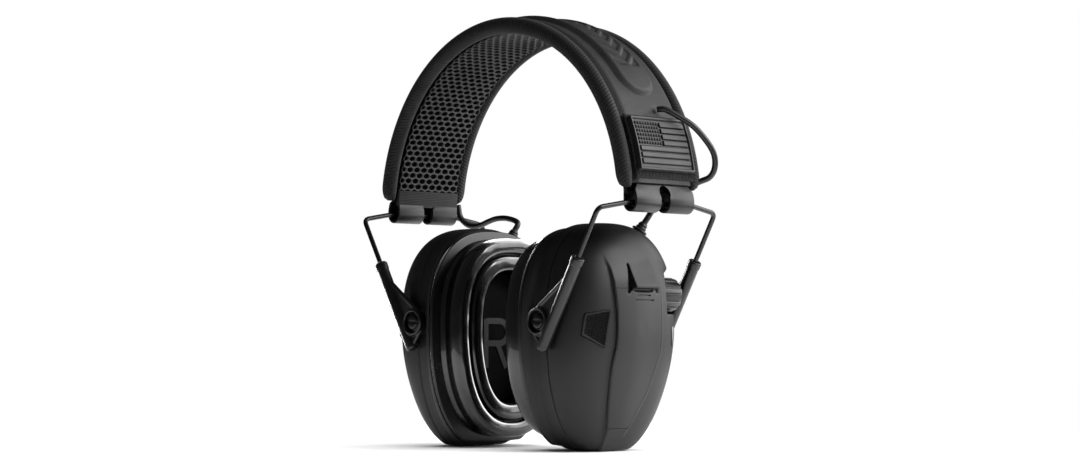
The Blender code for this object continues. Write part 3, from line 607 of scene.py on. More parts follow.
def keep_node(node, paint):
    """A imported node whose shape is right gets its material."""
    item = frame["nodes"][node]
    item.data.materials.clear()
    item.data.materials.append(PAINT[paint])
    for face in item.data.polygons:
        face.use_smooth = False


# ---------------------------------------------------------------- headband

def arc_angle(z):
    """Angle from the crown at which the centre line passes a height."""
    return math.acos((z - ARC_BASE_Z) / ARC_RISE)


def arc_point(angle, y, lift):
    """Point beside the headband's centre line, lift outwards from it."""
    across, up = ARC_RISE * math.sin(angle), HALF_SPAN * math.cos(angle)
    size = math.hypot(across, up)
    return Vector((HALF_SPAN * math.sin(angle) + lift * across / size, y,
                   ARC_BASE_Z + ARC_RISE * math.cos(angle) + lift * up / size))


def sweep(name, section, start, end, steps, around=True):
    rows = []
    for step in range(steps + 1):
        angle = start + (end - start) * step / steps
        rows.append([arc_point(angle, y, lift) for y, lift in section(angle)])
    return surface(name, rows, around=around)


def slab_section(half, low, high, corner=0.3, steps=3):
    """Rounded flat section from -half to half and from low to high."""
    outline = []
    for y, lift, turn in ((half - corner, high - corner, 0), (-half + corner, high - corner, 90),
                          (-half + corner, low + corner, 180), (half - corner, low + corner, 270)):
        outline += arc_of((y, lift), corner, turn, turn + 90, steps)
    return lambda angle: outline


def cover_section(angle):
    """Skin that is a little crowned and dips into the seam beside each edge roll."""
    half, steps = STRAP_HALF + 0.3, 36
    top = []
    for step in range(steps + 1):
        y = -half + 2.0 * half * step / steps
        dip = 1.9 * smooth_step(16.8, half, abs(y))
        top.append((y, 3.45 - 0.15 * (y / half) ** 2 - dip))
    return top + [(half, 1.4), (-half, 1.4)]


def build_cover():
    end = arc_angle(STRAP_END_Z)
    item = sweep("outer_cover", cover_section, -end, end, 150)
    wear(item, "headband", "skin", ("outer_cover",), angle=60.0)


def crown_lift(s, y, length):
    """Lift of the embossed pad: soft shoulders, then a sunk middle that holds plain slanting ribs."""
    past = max(0.0, abs(s) - (length - CROWN_HALF))
    edge = CROWN_HALF - math.hypot(y, past)
    lift = 3.1 + 2.5 * smooth_step(-0.2, 3.6, edge) + 0.3 * smooth_step(2.0, CROWN_HALF, edge)
    field = smooth_step(4.6, 5.6, edge) * smooth_step(length - 17.0, length - 19.0, abs(s))
    slant = math.sin((s + abs(y) * 0.9) * 2.0 * math.pi / 8.0)
    ribbed = smooth_step(24.0, 26.0, abs(s))
    return lift - 0.8 * field + 0.75 * field * ribbed * smooth_step(0.0, 0.7, slant)


def build_crown_pad():
    end = arc_angle(CROWN_END_Z)
    steps, columns = 280, 56
    angles = [end * (-1.0 + 2.0 * step / steps) for step in range(steps + 1)]
    crest = [arc_point(angle, 0.0, 3.5) for angle in angles]
    lengths = [0.0]
    for a, b in zip(crest, crest[1:]):
        lengths.append(lengths[-1] + (b - a).length)
    length = lengths[-1] / 2.0
    rows = []
    for angle, gone in zip(angles, lengths):
        s = gone - length
        past = max(0.0, abs(s) - (length - CROWN_HALF))
        half = max(math.sqrt(max(0.0, CROWN_HALF ** 2 - past ** 2)), 0.05)
        spread_y = [half * (-1.0 + 2.0 * column / columns) for column in range(columns + 1)]
        rows.append([arc_point(angle, y, crown_lift(s, y, length)) for y in spread_y])
    item = thicken(surface("crown_pad", rows), 1.0)
    wear(item, "headband", "skin", ("crown_pad",), angle=60.0)


def roll_section(sign):
    """Piping section; it is pinched towards both ends of the strap."""
    full, reach = arc_angle(ROLL_END_Z), 0.085

    def section(angle):
        left = max(0.0, (full - abs(angle)) / reach)
        size = 0.45 + 0.55 * math.sqrt(1.0 - (1.0 - min(1.0, left)) ** 2)
        inwards = ROLL_WIDE * (1.0 - size) * 0.8
        circle = arc_of((0.0, 0.0), size, 0.0, 352.5, 47)
        return [(sign * (ROLL_Y - inwards + y * ROLL_WIDE), ROLL_LIFT + lift * ROLL_HIGH)
                for y, lift in circle]
    return section


def build_rolls():
    end = arc_angle(ROLL_END_Z)
    for name, sign in (("front", -1), ("rear", 1)):
        item = sweep(name + "_edge_roll", roll_section(sign), -end, end, 220)
        wear(item, "headband", "twill", (name + "_edge_roll",), angle=70.0)


def six_corners(pitch, peak, flank):
    """Corners of a six-sided cell round its middle."""
    return [(0.0, peak), (pitch / 2, flank), (pitch / 2, -flank),
            (0.0, -peak), (-pitch / 2, -flank), (-pitch / 2, flank)]


def build_mesh_liner():
    """Spacer mesh: staggered six-sided holes, its strands raised between them."""
    pitch, row_pitch = 4.7, 2.8
    peak, flank = 1.95, 0.85
    hole = 0.80
    end = arc_angle(MESH_END_Z)
    arc_length = 2.0 * end * (HALF_SPAN + ARC_RISE) / 2.0
    rows_count = int(arc_length / row_pitch)
    solid = bmesh.new()
    shared = {}

    def vert(y, s, lift):
        key = (round(y, 2), round(s, 2), lift)
        if key not in shared:
            y = max(-STRAP_HALF, min(STRAP_HALF, y))
            angle = max(-end, min(end, (s / arc_length - 0.5) * 2.0 * end))
            hollow = 0.5 * (1.0 - (y / STRAP_HALF) ** 2)
            shared[key] = solid.verts.new(arc_point(angle, y, lift + hollow) * MM)
        return shared[key]

    for row in range(rows_count + 1):
        shift = (row % 2) * 0.5
        for column in range(-5, 6):
            y, s = (column + shift) * pitch, row * row_pitch
            if abs(y) > STRAP_HALF + 0.1:
                continue
            corners = six_corners(pitch, peak, flank)
            outer = [vert(y + dy, s + ds, -3.95) for dy, ds in corners]
            inner = [vert(y + dy * hole, s + ds * hole, -3.45) for dy, ds in corners]
            for here in range(6):
                there = (here + 1) % 6
                face = (outer[here], outer[there], inner[there], inner[here])
                if len(set(face)) == 4:
                    solid.faces.new(face)
    bmesh.ops.dissolve_degenerate(solid, dist=0.01 * MM, edges=solid.edges)
    bmesh.ops.recalc_face_normals(solid, faces=solid.faces)
    item = thicken(from_bmesh("mesh_liner", solid), MESH_THICKNESS, offset=0.0)
    finer = item.modifiers.new("finer", "SUBSURF")
    finer.levels = finer.render_levels = 1
    settle(item)
    wear(item, "headband", "mesh", ("mesh_liner",), angle=80.0)


def build_inner_layers():
    end = arc_angle(PAD_END_Z)
    item = sweep("inner_pad", slab_section(STRAP_HALF - 0.6, -2.4, 0.2, 0.8), -end, end, 130)
    wear(item, "headband", "foam", ("inner_pad",))
    for name, side in SIDES:
        start, stop = arc_angle(STRIP_FOOT_Z), arc_angle(MESH_END_Z + 0.6)
        section = slab_section(STRAP_HALF + 0.2, -4.3, -2.6, 0.35)
        item = sweep(name + "_liner_strip", section, start, stop, 10)
        wear(item, "headband", "tape", (name + "_liner_strip",), side)


def pile(point, size, depth):
    """Offset of the fuzzy pile at a point, in mm."""
    return depth * (noise.noise(point * size) + 0.6 * noise.noise(point * size * 2.3))


def strap_rows(start, stop, half, steps, columns, place):
    """Rows across the strap from one angle to another; place(angle, step, y) gives each point."""
    spots = [-half + 2.0 * half * column / columns for column in range(columns + 1)]
    rows = []
    for step in range(steps + 1):
        angle = start + (stop - start) * step / steps
        rows.append([place(angle, step, y) for y in spots])
    return rows


def build_loop_panels():
    start, stop = (arc_angle(z) for z in PANEL_Z)
    steps, columns, half = 90, 120, 19.4
    for name, side in SIDES:
        def fuzzy(angle, step, y):
            edge = min(half - abs(y), 28.0 * min(step, steps - step) / steps)
            lift = 3.55 + 0.75 * smooth_step(0.0, 0.6, edge)
            spot = Vector((angle * 80.0, y, side * 7.0))
            lift += pile(spot, 1.9, 0.22) - 0.35 * smooth_step(0.5, 0.0, abs(edge - 1.6))
            return arc_point(angle, y + pile(spot + Vector((0, 0, 9)), 1.1, 0.12), lift)

        rows = strap_rows(start, stop, half, steps, columns, fuzzy)
        item = thicken(surface(name + "_loop_panel", rows), 0.5)
        wear(item, "headband", "loop", (name + "_loop_panel",), side, angle=60.0)
        add_stitches(name, side, start, stop, half - 1.6)


def add_stitches(name, side, start, stop, half):
    """Thread sewn round the loop panel, one short raised stitch after another."""
    solid = bmesh.new()
    length, thread = 2.1, 0.22
    inset = 1.6 / STRAP_RADIUS
    outlines = ((0.0, 0.4, -0.2), (0.25, 1.0, 0.05), (0.5, 1.1, 0.12), (0.75, 1.0, 0.05), (1.0, 0.4, -0.2))
    turns = [math.pi * k / 3.0 for k in range(6)]

    def stitch(angle_a, y_a, angle_b, y_b):
        a, b = arc_point(angle_a, y_a, 4.25), arc_point(angle_b, y_b, 4.25)
        along = (b - a).normalized()
        out = (arc_point(angle_a, y_a, 5.0) - arc_point(angle_a, y_a, 4.0)).normalized()
        sideways = along.cross(out)
        loops = []
        for part, size, rise in outlines:
            centre = a.lerp(b, part) + out * rise
            ring = [centre + (sideways * math.cos(t) + out * math.sin(t)) * thread * size for t in turns]
            loops.append([solid.verts.new(point * MM) for point in ring])
        add_strand(solid, loops)

    sideways_count = int(2.0 * half / length)
    for angle in (start - inset, stop + inset):
        for k in range(sideways_count):
            y = -half + 2.0 * half * (k + 0.12) / sideways_count
            stitch(angle, y, angle, y + 0.75 * length)
    along_count = int((start - stop - 2.0 * inset) * STRAP_RADIUS / length)
    for y in (-half, half):
        for k in range(along_count):
            a = start - inset - (start - stop - 2.0 * inset) * (k + 0.12) / along_count
            stitch(a, y, a - 0.75 * length / STRAP_RADIUS, y)
    bmesh.ops.recalc_face_normals(solid, faces=solid.faces)
    item = from_bmesh(name + "_panel_stitches", solid)
    wear(item, "headband", "twill", (), side, angle=80.0)


def patch_relief(y, s, width, height):
    """Height of the moulded patch: a raised border, broad level bars and a knurled corner block."""
    edge = min(width - abs(y), height - abs(s))
    lift = 4.75 + 0.9 * smooth_step(0.0, 0.3, edge)
    if edge < 1.5:
        return lift + 1.0 * smooth_step(0.2, 0.45, edge) * smooth_step(1.5, 1.2, edge)
    field = smooth_step(2.3, 2.6, edge)
    top = height - 2.4
    pitch = 2.0 * top / 7.0
    place = (s + top) / pitch
    across = (place - math.floor(place)) * pitch
    bar = smooth_step(0.0, 0.3, across - 0.38) * smooth_step(0.0, 0.3, pitch - across)
    if y < -0.8 and place > 3.05:
        lattice = math.cos((y + s) * math.pi / 1.75) * math.cos((y - s) * math.pi / 1.75)
        bar = 0.15 + 0.85 * smooth_step(0.05, 0.5, lattice)
    elif y < 0.0 and place > 3.0:
        bar = 0.0
    return lift + 0.95 * bar * field


def build_patches():
    start, stop = (arc_angle(z) for z in PATCH_Z)
    steps, columns, half = 150, 230, 18.5
    height = (start - stop) * PATCH_RADIUS / 2.0

    def moulded(angle, step, y):
        s = -height + 2.0 * height * step / steps
        return arc_point(angle, y, patch_relief(y, s, half, height))

    for name, side in SIDES:
        rows = strap_rows(start, stop, half, steps, columns, moulded)
        item = thicken(surface(name + "_patch", rows), 0.5)
        wear(item, "headband", "patch", (name + "_patch",), side, angle=60.0)


def steel_route():
    """Centre line of the spring band in X and Z, from its left leaf and hook to the right ones."""
    hook = arc_of((HOOK_X, HOOK_Z), HOOK_RADIUS, -180.0, 0.0, 24)
    leaf = [(HOOK_X - HOOK_RADIUS, 117.4), (HOOK_X - HOOK_RADIUS, 114.6)]
    knots = ((HOOK_X + HOOK_RADIUS, 112.9), (HOOK_X + HOOK_RADIUS, 114.6), (82.4, 117.6), (80.9, 121.2))
    flare = smooth_route([Vector((x, 0.0, z)) for x, z in knots], 0.8)[1:-1]
    end = arc_angle(122.0)
    arc = [arc_point(end - 2.0 * end * step / 120, 0.0, STEEL_LIFT) for step in range(121)]
    side = leaf + hook + [(point.x, point.z) for point in flare]
    return side + [(point.x, point.z) for point in arc] + [(-x, z) for x, z in side[::-1]]


def build_spring_band():
    path = [Vector(point) for point in steel_route()]
    rows = []
    for here, point in enumerate(path):
        along = (path[min(here + 1, len(path) - 1)] - path[max(here - 1, 0)]).normalized()
        out = Vector((along.y, -along.x))
        near_hook = smooth_step(121.0, 118.0, point.y)
        half = STEEL_HALF + (HOOK_HALF - STEEL_HALF) * near_hook
        section = slab_section(half, -STEEL_THICKNESS / 2.0, STEEL_THICKNESS / 2.0, 0.3)(0.0)
        rows.append([(point.x + out.x * rise, y, point.y + out.y * rise) for y, rise in section])
    item = surface("spring_band", rows, around=True)
    for side in (1, -1):
        near, far = sorted((side * 70.0, side * 90.0))
        outline = arc_of((0.0, KEYHOLE_Z), KEYHOLE_RADIUS, -33.0, 213.0, 28)
        outline = [(y, z) for y, z in outline] + [(-KEYHOLE_HALF, 113.0), (-KEYHOLE_HALF, 100.0),
                                                 (KEYHOLE_HALF, 100.0), (KEYHOLE_HALF, 113.0)]
        cut(item, prism_x("keyhole", outline, near, far))
    bevel(item, 0.22, 2, 50.0)
    wear(item, "headband", "steel", ("spring_band",), angle=50.0)


def build_lead_eyelet():
    """Small moulded eyelet where the outer lead goes through the skin."""
    end = Vector(LOOP_ROUTE[-1])
    angle = math.asin(end.x / (HALF_SPAN + 2.0))
    out = (arc_point(angle, end.y, 6.0) - arc_point(angle, end.y, 3.0)).normalized()
    base = arc_point(angle, end.y, 3.3)
    profile = ((0.0, 2.6), (0.4, 2.6), (0.7, 2.4), (0.8, 2.0), (0.6, 1.6), (0.0, 1.5))
    item = rod("lead_eyelet", base - out * 0.2, base + out * 2.0, profile, 40)
    wear(item, "headband", "cable")


# ---------------------------------------------------------------- yokes and arms

def leg_direction():
    return (TUBE_TOP - TUBE_FOOT).normalized()


def build_yokes():
    along = leg_direction()
    foot = TUBE_TOP - along * 24.8
    corner = TUBE_TOP + along * LEG_SHOWN
    half = [Vector((foot.x, LEG_Y, foot.y)), Vector((corner.x, LEG_Y, corner.y)),
            Vector((HOOK_X, HOOK_HALF + 1.6, HOOK_Z))]
    mirrored = [Vector((point.x, -point.y, point.z)) for point in half[::-1]]
    for name, side in SIDES:
        route = filleted(half + mirrored, 3.2)
        item = tube(name + "_yoke_wire", route, WIRE_RADIUS, 20)
        wear(item, name + "_yoke", "wire", (name + "_yoke_wire",), side)


def arm_shape(name, end):
    """Tube with a collar, a thin web with raised edges, and the eyelet ring."""
    top = Vector((TUBE_TOP.x, end * LEG_Y, TUBE_TOP.y))
    foot = Vector((TUBE_FOOT.x, end * LEG_Y, TUBE_FOOT.y))
    along = (top - foot).normalized()
    length = (top - foot).length
    profile = ((0.0, 2.0), (0.8, 2.7), (3.0, 2.85), (length - 4.0, 2.9), (length - 3.2, 3.15),
               (length - 0.5, 3.2), (length, 2.8))
    item = rod(name, foot, top, profile, 40)
    pivot = Vector((PIVOT_X, 0.0, PIVOT_Z))
    low, high = (end * y for y in EYELET_Y)
    web_top = top - along * 7.0
    web = [(foot.x + 0.6, foot.z + 1.0), (web_top.x, web_top.z), (PIVOT_X - 2.2, PIVOT_Z + 5.7),
           (PIVOT_X - 5.0, PIVOT_Z - 3.0)]
    cut(item, prism_y("web", web, *(end * y for y in WEB_Y)), "UNION")
    for start, stop in ((web_top, Vector((PIVOT_X - 2.4, 0.0, PIVOT_Z + 5.2))),
                        (foot + along * 1.5, Vector((PIVOT_X - 4.6, 0.0, PIVOT_Z - 3.4)))):
        a, b = Vector((start.x, end * LEG_Y, start.z)), Vector((stop.x, end * LEG_Y, stop.z))
        cut(item, cylinder("edge", a, b, 1.0, 16), "UNION")
    ring = rod("ring", (pivot.x, low, pivot.z), (pivot.x, high, pivot.z),
               ((0.0, 6.1), (0.3, 6.3), (4.3, 6.3), (4.8, 5.9)), 56)
    cut(item, ring, "UNION")
    cut(item, cylinder("bore", foot + along * 2.0, top + along * 1.0, 1.45, 24))
    cut(item, cylinder("recess", (pivot.x, end * 39.3, pivot.z), (pivot.x, end * 50.0, pivot.z), 5.0, 48))
    cut(item, cylinder("hole", (pivot.x, end * 30.0, pivot.z), (pivot.x, end * 50.0, pivot.z), 2.5, 32))
    return soften(item, 0.32, 2)


def screw_shape(name, end):
    """Slotted shoulder screw with a domed head and a thin flange."""
    tip = Vector((PIVOT_X, end * 30.2, PIVOT_Z))
    face = Vector((PIVOT_X, end * 41.3, PIVOT_Z))
    seat = 9.35
    profile = ((0.0, 1.6), (0.4, 2.1), (seat, 2.1), (seat, 4.5), (seat + 0.45, 4.5), (seat + 0.6, 4.1),
               (seat + 0.8, 3.5), (seat + 1.5, 3.2), (11.0, 2.4), (11.1, 0.4))
    item = rod(name, tip, face, profile, 48)
    low, high = sorted((end * 40.45, end * 45.0))
    slot = [(PIVOT_X - 6.0, PIVOT_Z - 0.65), (PIVOT_X + 6.0, PIVOT_Z - 0.65),
            (PIVOT_X + 6.0, PIVOT_Z + 0.65), (PIVOT_X - 6.0, PIVOT_Z + 0.65)]
    cut(item, prism_y("slot", slot, low, high))
    return bevel(item, 0.12, 2, 40.0)


def build_arms():
    for place, end in (("front", -1), ("rear", 1)):
        arm = arm_shape("arm_" + place, end)
        screw = screw_shape("screw_" + place, end)
        for name, side in SIDES:
            label = f"{name}_{place}_arm"
            item = new_object(label, arm.data.copy())
            wear(item, name + "_arms", "arm", (label,), side, angle=50.0)
            label = f"{name}_{place}_pivot_screw"
            item = new_object(label, screw.data.copy())
            wear(item, name + "_cup", "screw", (label,), side, angle=40.0)
        for item in (arm, screw):
            bpy.data.objects.remove(item, do_unlink=True)


# ---------------------------------------------------------------- cups

def soft_floor(z, floor):
    """Height kept above a floor, with a rounded turn where the outline reaches it."""
    left = z - floor
    if left > 1.0:
        return z
    return floor if left < -1.0 else floor + (left + 1.0) ** 2 / 4.0


def outline(half, top, foot, floor=0.0, steps=176):
    """Rounded-box outline in (y, z) with its own shape above and below the widest line."""
    points = []
    for step in range(steps):
        angle = 2.0 * math.pi * (step + 0.5) / steps
        above = math.sin(angle) > 0.0
        power, reach = (TOP_POWER, top - WIDEST_Z) if above else (FOOT_POWER, WIDEST_Z - foot)
        y = half * math.copysign(abs(math.cos(angle)) ** (2.0 / power), math.cos(angle))
        z = WIDEST_Z + reach * math.copysign(abs(math.sin(angle)) ** (2.0 / power), math.sin(angle))
        points.append((y, soft_floor(z, floor)))
    return points


def taper(x, z):
    """Depth of the dome at a height: it gets shallower below its widest line."""
    return DOME_START + (x - DOME_START) * (1.0 - DOME_TAPER * smooth_step(WIDEST_Z, DOME_TAPER_END_Z, z))


def shell_ring(x, inset=0.0, scale=1.0, steps=176):
    half = (SHELL_HALF - inset) * scale
    top = WIDEST_Z + (CUP_TOP - inset - WIDEST_Z) * scale
    foot = WIDEST_Z - (WIDEST_Z - CUP_FOOT - inset) * scale
    return [(x, y, z) for y, z in outline(half, top, foot, max(inset, 0.0), steps)]


def dome(name, inset=0.0, lift=None, steps=176, rings=44):
    """Closed domed solid; lift(y, z) moves its skin outwards."""
    depth = DOME_DEPTH - inset
    rows = []
    for ring in range(rings):
        turn = math.pi / 2.0 * ring / rings
        part = math.sin(turn) ** (2.0 / DOME_POWER)
        scale = math.cos(turn) ** (2.0 / DOME_POWER)
        ring_points = shell_ring(DOME_START + depth * part, inset, scale, steps)
        rows.append([Vector((taper(x, z), y, z)) for x, y, z in ring_points])
    if lift:
        moved = []
        for here, row in enumerate(rows):
            before, after = rows[max(here - 1, 0)], rows[min(here + 1, rings - 1)]
            new_row = []
            for index, point in enumerate(row):
                along = after[index] - before[index]
                across = row[(index + 1) % steps] - row[index - 1]
                normal = along.cross(across).normalized()
                if normal.dot(point - Vector((DOME_START - 30.0, 0.0, WIDEST_Z))) < 0.0:
                    normal = -normal
                new_row.append(point + normal * lift(point.y, point.z))
            moved.append([Vector((point.x, point.y, max(point.z, 0.0))) for point in new_row])
        rows = moved
    return surface(name, rows, around=True)


def spine_lift(y, z):
    """The spine stands proud along its front ridge and dies out towards its rear and top."""
    return SPINE_PROUD * smooth_step(91.0, 76.0, z) * (1.0 - 0.9 * smooth_step(-6.0, 12.0, y))


def door_outline():
    """Panel outline in (y, z) with its front edge smoothed along the ridge."""
    front = smooth_route([Vector((y, z, 0.0)) for y, z in DOOR_FRONT], 2.0)
    return [(point.x, point.y) for point in front] + DOOR_REAR


def spine_outline():
    """The ridge from the top of the casing to its foot, and the border behind the door."""
    front = smooth_route([Vector((y, z, 0.0)) for y, z in RIDGE_TOP + DOOR_FRONT + RIDGE_FOOT], 2.0)
    rear = [(-0.5, -4.0), (0.5, 6.0)] + [(y + 1.0, z) for y, z in DOOR_REAR[:-1]] + [(15.2, 93.0)]
    return [(point.x, point.y) for point in front] + rear


def grown(points, amount):
    """Outline moved away from its middle by about an amount."""
    middle = Vector((sum(y for y, z in points), sum(z for y, z in points))) / len(points)
    return [(y + math.copysign(amount, y - middle.x), z + math.copysign(amount, z - middle.y))
            for y, z in points]


def skin_solid(name):
    """Outer skin of the casing as one closed solid: dome, raised spine, lip and lower facet."""
    item = dome(name)
    spine = dome("spine", lift=spine_lift)
    cut(spine, prism_x("spine_prism", spine_outline(), 44.0, 80.0), "INTERSECT")
    cut(item, spine, "UNION")
    profile = [(64.2, 90.5), (66.4, 86.0), (69.0, 80.6), (70.8, 77.2), (71.8, 75.3),
               (71.9, 74.7), (71.4, 74.3), (60.0, 74.3), (58.0, 88.0)]
    lip = prism_y("lip", profile, -6.5, 9.0)
    cut(item, lip, "UNION")
    slope = [(50.4, -3.0), (58.6, 10.2), (80.0, 10.2), (80.0, -8.0), (50.4, -8.0)]
    cut(item, prism_y("facet", slope, -30.0, 30.0))
    return item


def sunk_tool(name, points, depth):
    """Cutter that follows the skin at a depth below it, inside an outline in (y, z)."""
    tool = prism_x(name, points, 45.0, 85.0)
    cut(tool, dome("inner_skin", lift=lambda y, z: spine_lift(y, z) - depth, steps=120, rings=36))
    return tool


def shaped_skin(name, has_controls):
    """Outer form of the casing with the pockets beside its lip, its notch, and rounded edges."""
    item = skin_solid(name)
    cut(item, sunk_tool("front_pocket", [(-7.0, 88.0), (-9.9, 71.0), (-6.5, 74.3), (-6.5, 88.0)], 2.2))
    cut(item, sunk_tool("rear_pocket", [(9.0, 80.0), (9.0, 74.3), (12.6, 71.3), (10.2, 80.0)], 1.2))
    cut(item, sunk_tool("under_lip", [(-5.2, 72.8), (8.0, 72.8), (9.0, 74.4), (-6.5, 74.4)], 1.2))
    if has_controls:
        cut(item, prism_x("notch", NOTCH, 46.6, 90.0))
    return soften(item, FINE_VOXEL, 3)


def engraved_lines():
    """Cutter of the two short lines below the lip."""
    tools = []
    for z, low, high in ((71.2, -3.2, 6.2), (69.0, -5.2, 8.6)):
        foot, top = z - 0.33, z + 0.33
        tools.append(sunk_tool("line", [(low, foot), (high, foot), (high, top), (low, top)], 0.7))
    return cut(tools[0], tools[1], "UNION")


def place_grille(item, depth=0.0):
    turn = Matrix.Rotation(GRILLE_TURN, 4, "Z") @ Matrix.Rotation(GRILLE_LEAN, 4, "X")
    item.data.transform(Matrix.Translation(grille_point(depth) * MM) @ turn)
    return item


def grille_prism(name, grow, low, high):
    """Trapezoid prism square to the skin at the microphone."""
    half = GRILLE_HALF + grow
    front, back = GRILLE_SHORT + grow, GRILLE_TALL + grow
    trapezoid = [(-half, -front), (half, -back), (half, back), (-half, front)]
    return place_grille(prism_x(name, trapezoid, low, high))


def grille_point(depth):
    return GRILLE + Vector((math.cos(GRILLE_TURN), math.sin(GRILLE_TURN), 0.0)) * depth


def pivot_bores():
    """Cutters of the two bores that the pivot screws sit in."""
    return [cylinder("bore", (PIVOT_X, end * 20.0, PIVOT_Z), (PIVOT_X, end * 45.0, PIVOT_Z), 2.5, 24)
            for end in (1, -1)]


def lead_bore(side):
    return cylinder("lead_hole", grommet_axis(-8.0, side), grommet_axis(8.0, side), 3.0, 24)


def outer_shell_shape(name, skin, has_controls):
    """Outer shell: the rounded skin hollowed out, with its openings."""
    item = new_object(name, skin.data.copy())
    hollow = dome("hollow", inset=WALL, steps=120, rings=32)
    mouth = surface("mouth", [shell_ring(x, WALL, 1.0, 120) for x in (41.0, 43.2)], around=True)
    cut(hollow, mouth, "UNION")
    if has_controls:
        wall = [(y - WALL if y < 40.0 else y, z + (WALL if z > 70.0 else -WALL)) for y, z in NOTCH]
        cut(hollow, prism_x("notch_wall", wall, 44.4, 90.0))
    cut(hollow, grille_prism("grille_seat", 1.6, -6.0, 20.0))
    tools = [grille_prism("grille_pocket", 0.35, -1.6, 20.0),
             cylinder("port", grille_point(-10.0), grille_point(2.0), 3.3, 24)]
    if has_controls:
        tools.append(cylinder("spindle_hole", (KNOB_X, 14.6, KNOB_Z), (KNOB_X, 20.6, KNOB_Z), 1.9, 24))
        tools.append(prism_x("door_opening", grown(door_outline(), DOOR_SEAM), 46.0, 80.0))
        tools.append(lead_bore(1))
    else:
        tools.append(engraved_lines())
    for tool in tools + pivot_bores():
        cut(hollow, tool, "UNION")
    return cut(item, hollow)


def door_shape(name, skin):
    """Door: the part of the rounded skin inside its outline."""
    item = new_object(name, skin.data.copy())
    block = prism_x("door_prism", door_outline(), 45.0, 90.0)
    cut(block, dome("door_inner", inset=DOOR_THICKNESS, steps=120, rings=36))
    cut(block, engraved_lines())
    return cut(item, block, "INTERSECT")


def rim_outline(inset=0.0, steps=176):
    return outline(RIM_HALF - inset, RIM_TOP - inset, RIM_FOOT + inset, RIM_FLOOR + inset, steps)


def base_shell_shape(name, side):
    """Side wall of the casing: it flares into the rim and carries the speaker's baffle."""
    flare = ((31.3, 0.93), (31.9, 0.93), (33.4, 0.84), (34.4, 0.62), (35.1, 0.35), (35.7, 0.12), (36.3, 0.03),
             (37.0, 0.0), (42.6, 0.0))
    rim = rim_outline()
    rows = []
    for x, part in flare:
        row = []
        for (_, y, z), (rim_y, rim_z) in zip(shell_ring(x), rim):
            row.append((x, y + (rim_y - y) * part, max(0.0, z + (rim_z - z) * part)))
        rows.append(row)
    rows.append([Vector(point) for point in shell_ring(42.8, 0.2)])
    item = surface(name, rows, around=True)
    hollow = surface("hollow", [shell_ring(x, WALL, 1.0, 120) for x in (30.0, 40.7)], around=True)
    cut(item, hollow)
    cut(item, cylinder("seat", (30.0, 0.0, 55.0), (50.0, 0.0, 55.0), 17.3, 64))
    for bore in pivot_bores():
        cut(item, bore)
    if side < 0:
        cut(item, lead_bore(side))
    return item


def rim_shape(name):
    rows = []
    for x, inset in ((28.7, 0.9), (28.9, 0.35), (29.3, 0.05), (30.2, 0.0), (30.7, 0.3), (31.0, 0.8)):
        rows.append([(x, y, z) for y, z in rim_outline(inset)])
    item = surface(name, rows, around=True)
    return cut(item, prism_x("window", outline(24.0, 89.0, 17.0, steps=120), 27.0, 33.0))


def gel_profile():
    """Profile of the seal as (half width, x): film edge, inner ridge, groove, outer ridge and skirt."""
    knots = [(19.8, 28.3), (19.4, 21.0), (19.5, 17.0), (19.9, 16.0), (20.2, 15.3),
             (21.2, 14.4), (23.2, 14.05), (25.6, 14.2), (27.0, 15.0), (27.6, 16.6), (27.8, 17.7),
             (28.2, 17.7), (28.4, 16.6), (29.2, 15.0), (31.0, 14.2), (33.6, 14.3), (35.2, 15.4),
             (35.9, 17.6), (35.9, 20.6), (35.3, 23.4), (34.8, 25.2), (35.2, 26.8), (35.7, 28.3)]
    route = smooth_route([Vector((half, x, 0.0)) for half, x in knots], 0.45)
    return [(point.x, point.y) for point in route]


def gel_shape(name):
    """Glossy two-ridged seal with the faint waves that a stretched film has."""
    steps = 320
    loops = []
    for half, x in gel_profile():
        top, foot = 64.5 + 0.975 * half, 39.75 - 0.9875 * half
        loops.append([(x, y, z) for y, z in outline(half, top, foot, -5.0, steps)])
    rows = []
    for step in range(steps):
        row = []
        for loop in loops:
            point = Vector(loop[step])
            small = Vector((point.x, point.y * 0.9, point.z * 0.9)) * 0.16
            wave = noise.noise(point * 0.055) * 0.30 + noise.noise(small) * 0.16 + 0.12
            keep = smooth_step(28.2, 25.0, point.x)
            away = Vector((1.0, -0.35 * point.y / 36.0, -0.35 * (point.z - 52.0) / 48.0))
            row.append(point + away * wave * keep)
        rows.append(row)
    return surface(name, rows, around=True, along=True)


def cloth_shape(name):
    """Ear cloth drawn over the foam, a little sunk in the middle."""
    rows = []
    for x, scale in ((27.3, 0.995), (26.9, 1.0)):
        rows.append([(x, y, z) for y, z in outline(19.3 * scale, 83.2, 20.8, -5.0, 120)])
    centre = Vector((0.0, 0.0, 52.0))
    for part in (0.96, 0.9, 0.82, 0.72, 0.6, 0.47, 0.33, 0.2, 0.08):
        ring = []
        for y, z in outline(19.3, 83.2, 20.8, -5.0, 120):
            spot = Vector((0.0, y, z)) * part + centre * (1.0 - part)
            sag = 0.35 * (1.0 - part ** 2) + 0.10 * noise.noise(spot * 0.35)
            ring.append((26.62 + sag * 0.8, spot.y, spot.z))
        rows.append(ring)
    return surface(name, rows, around=True)


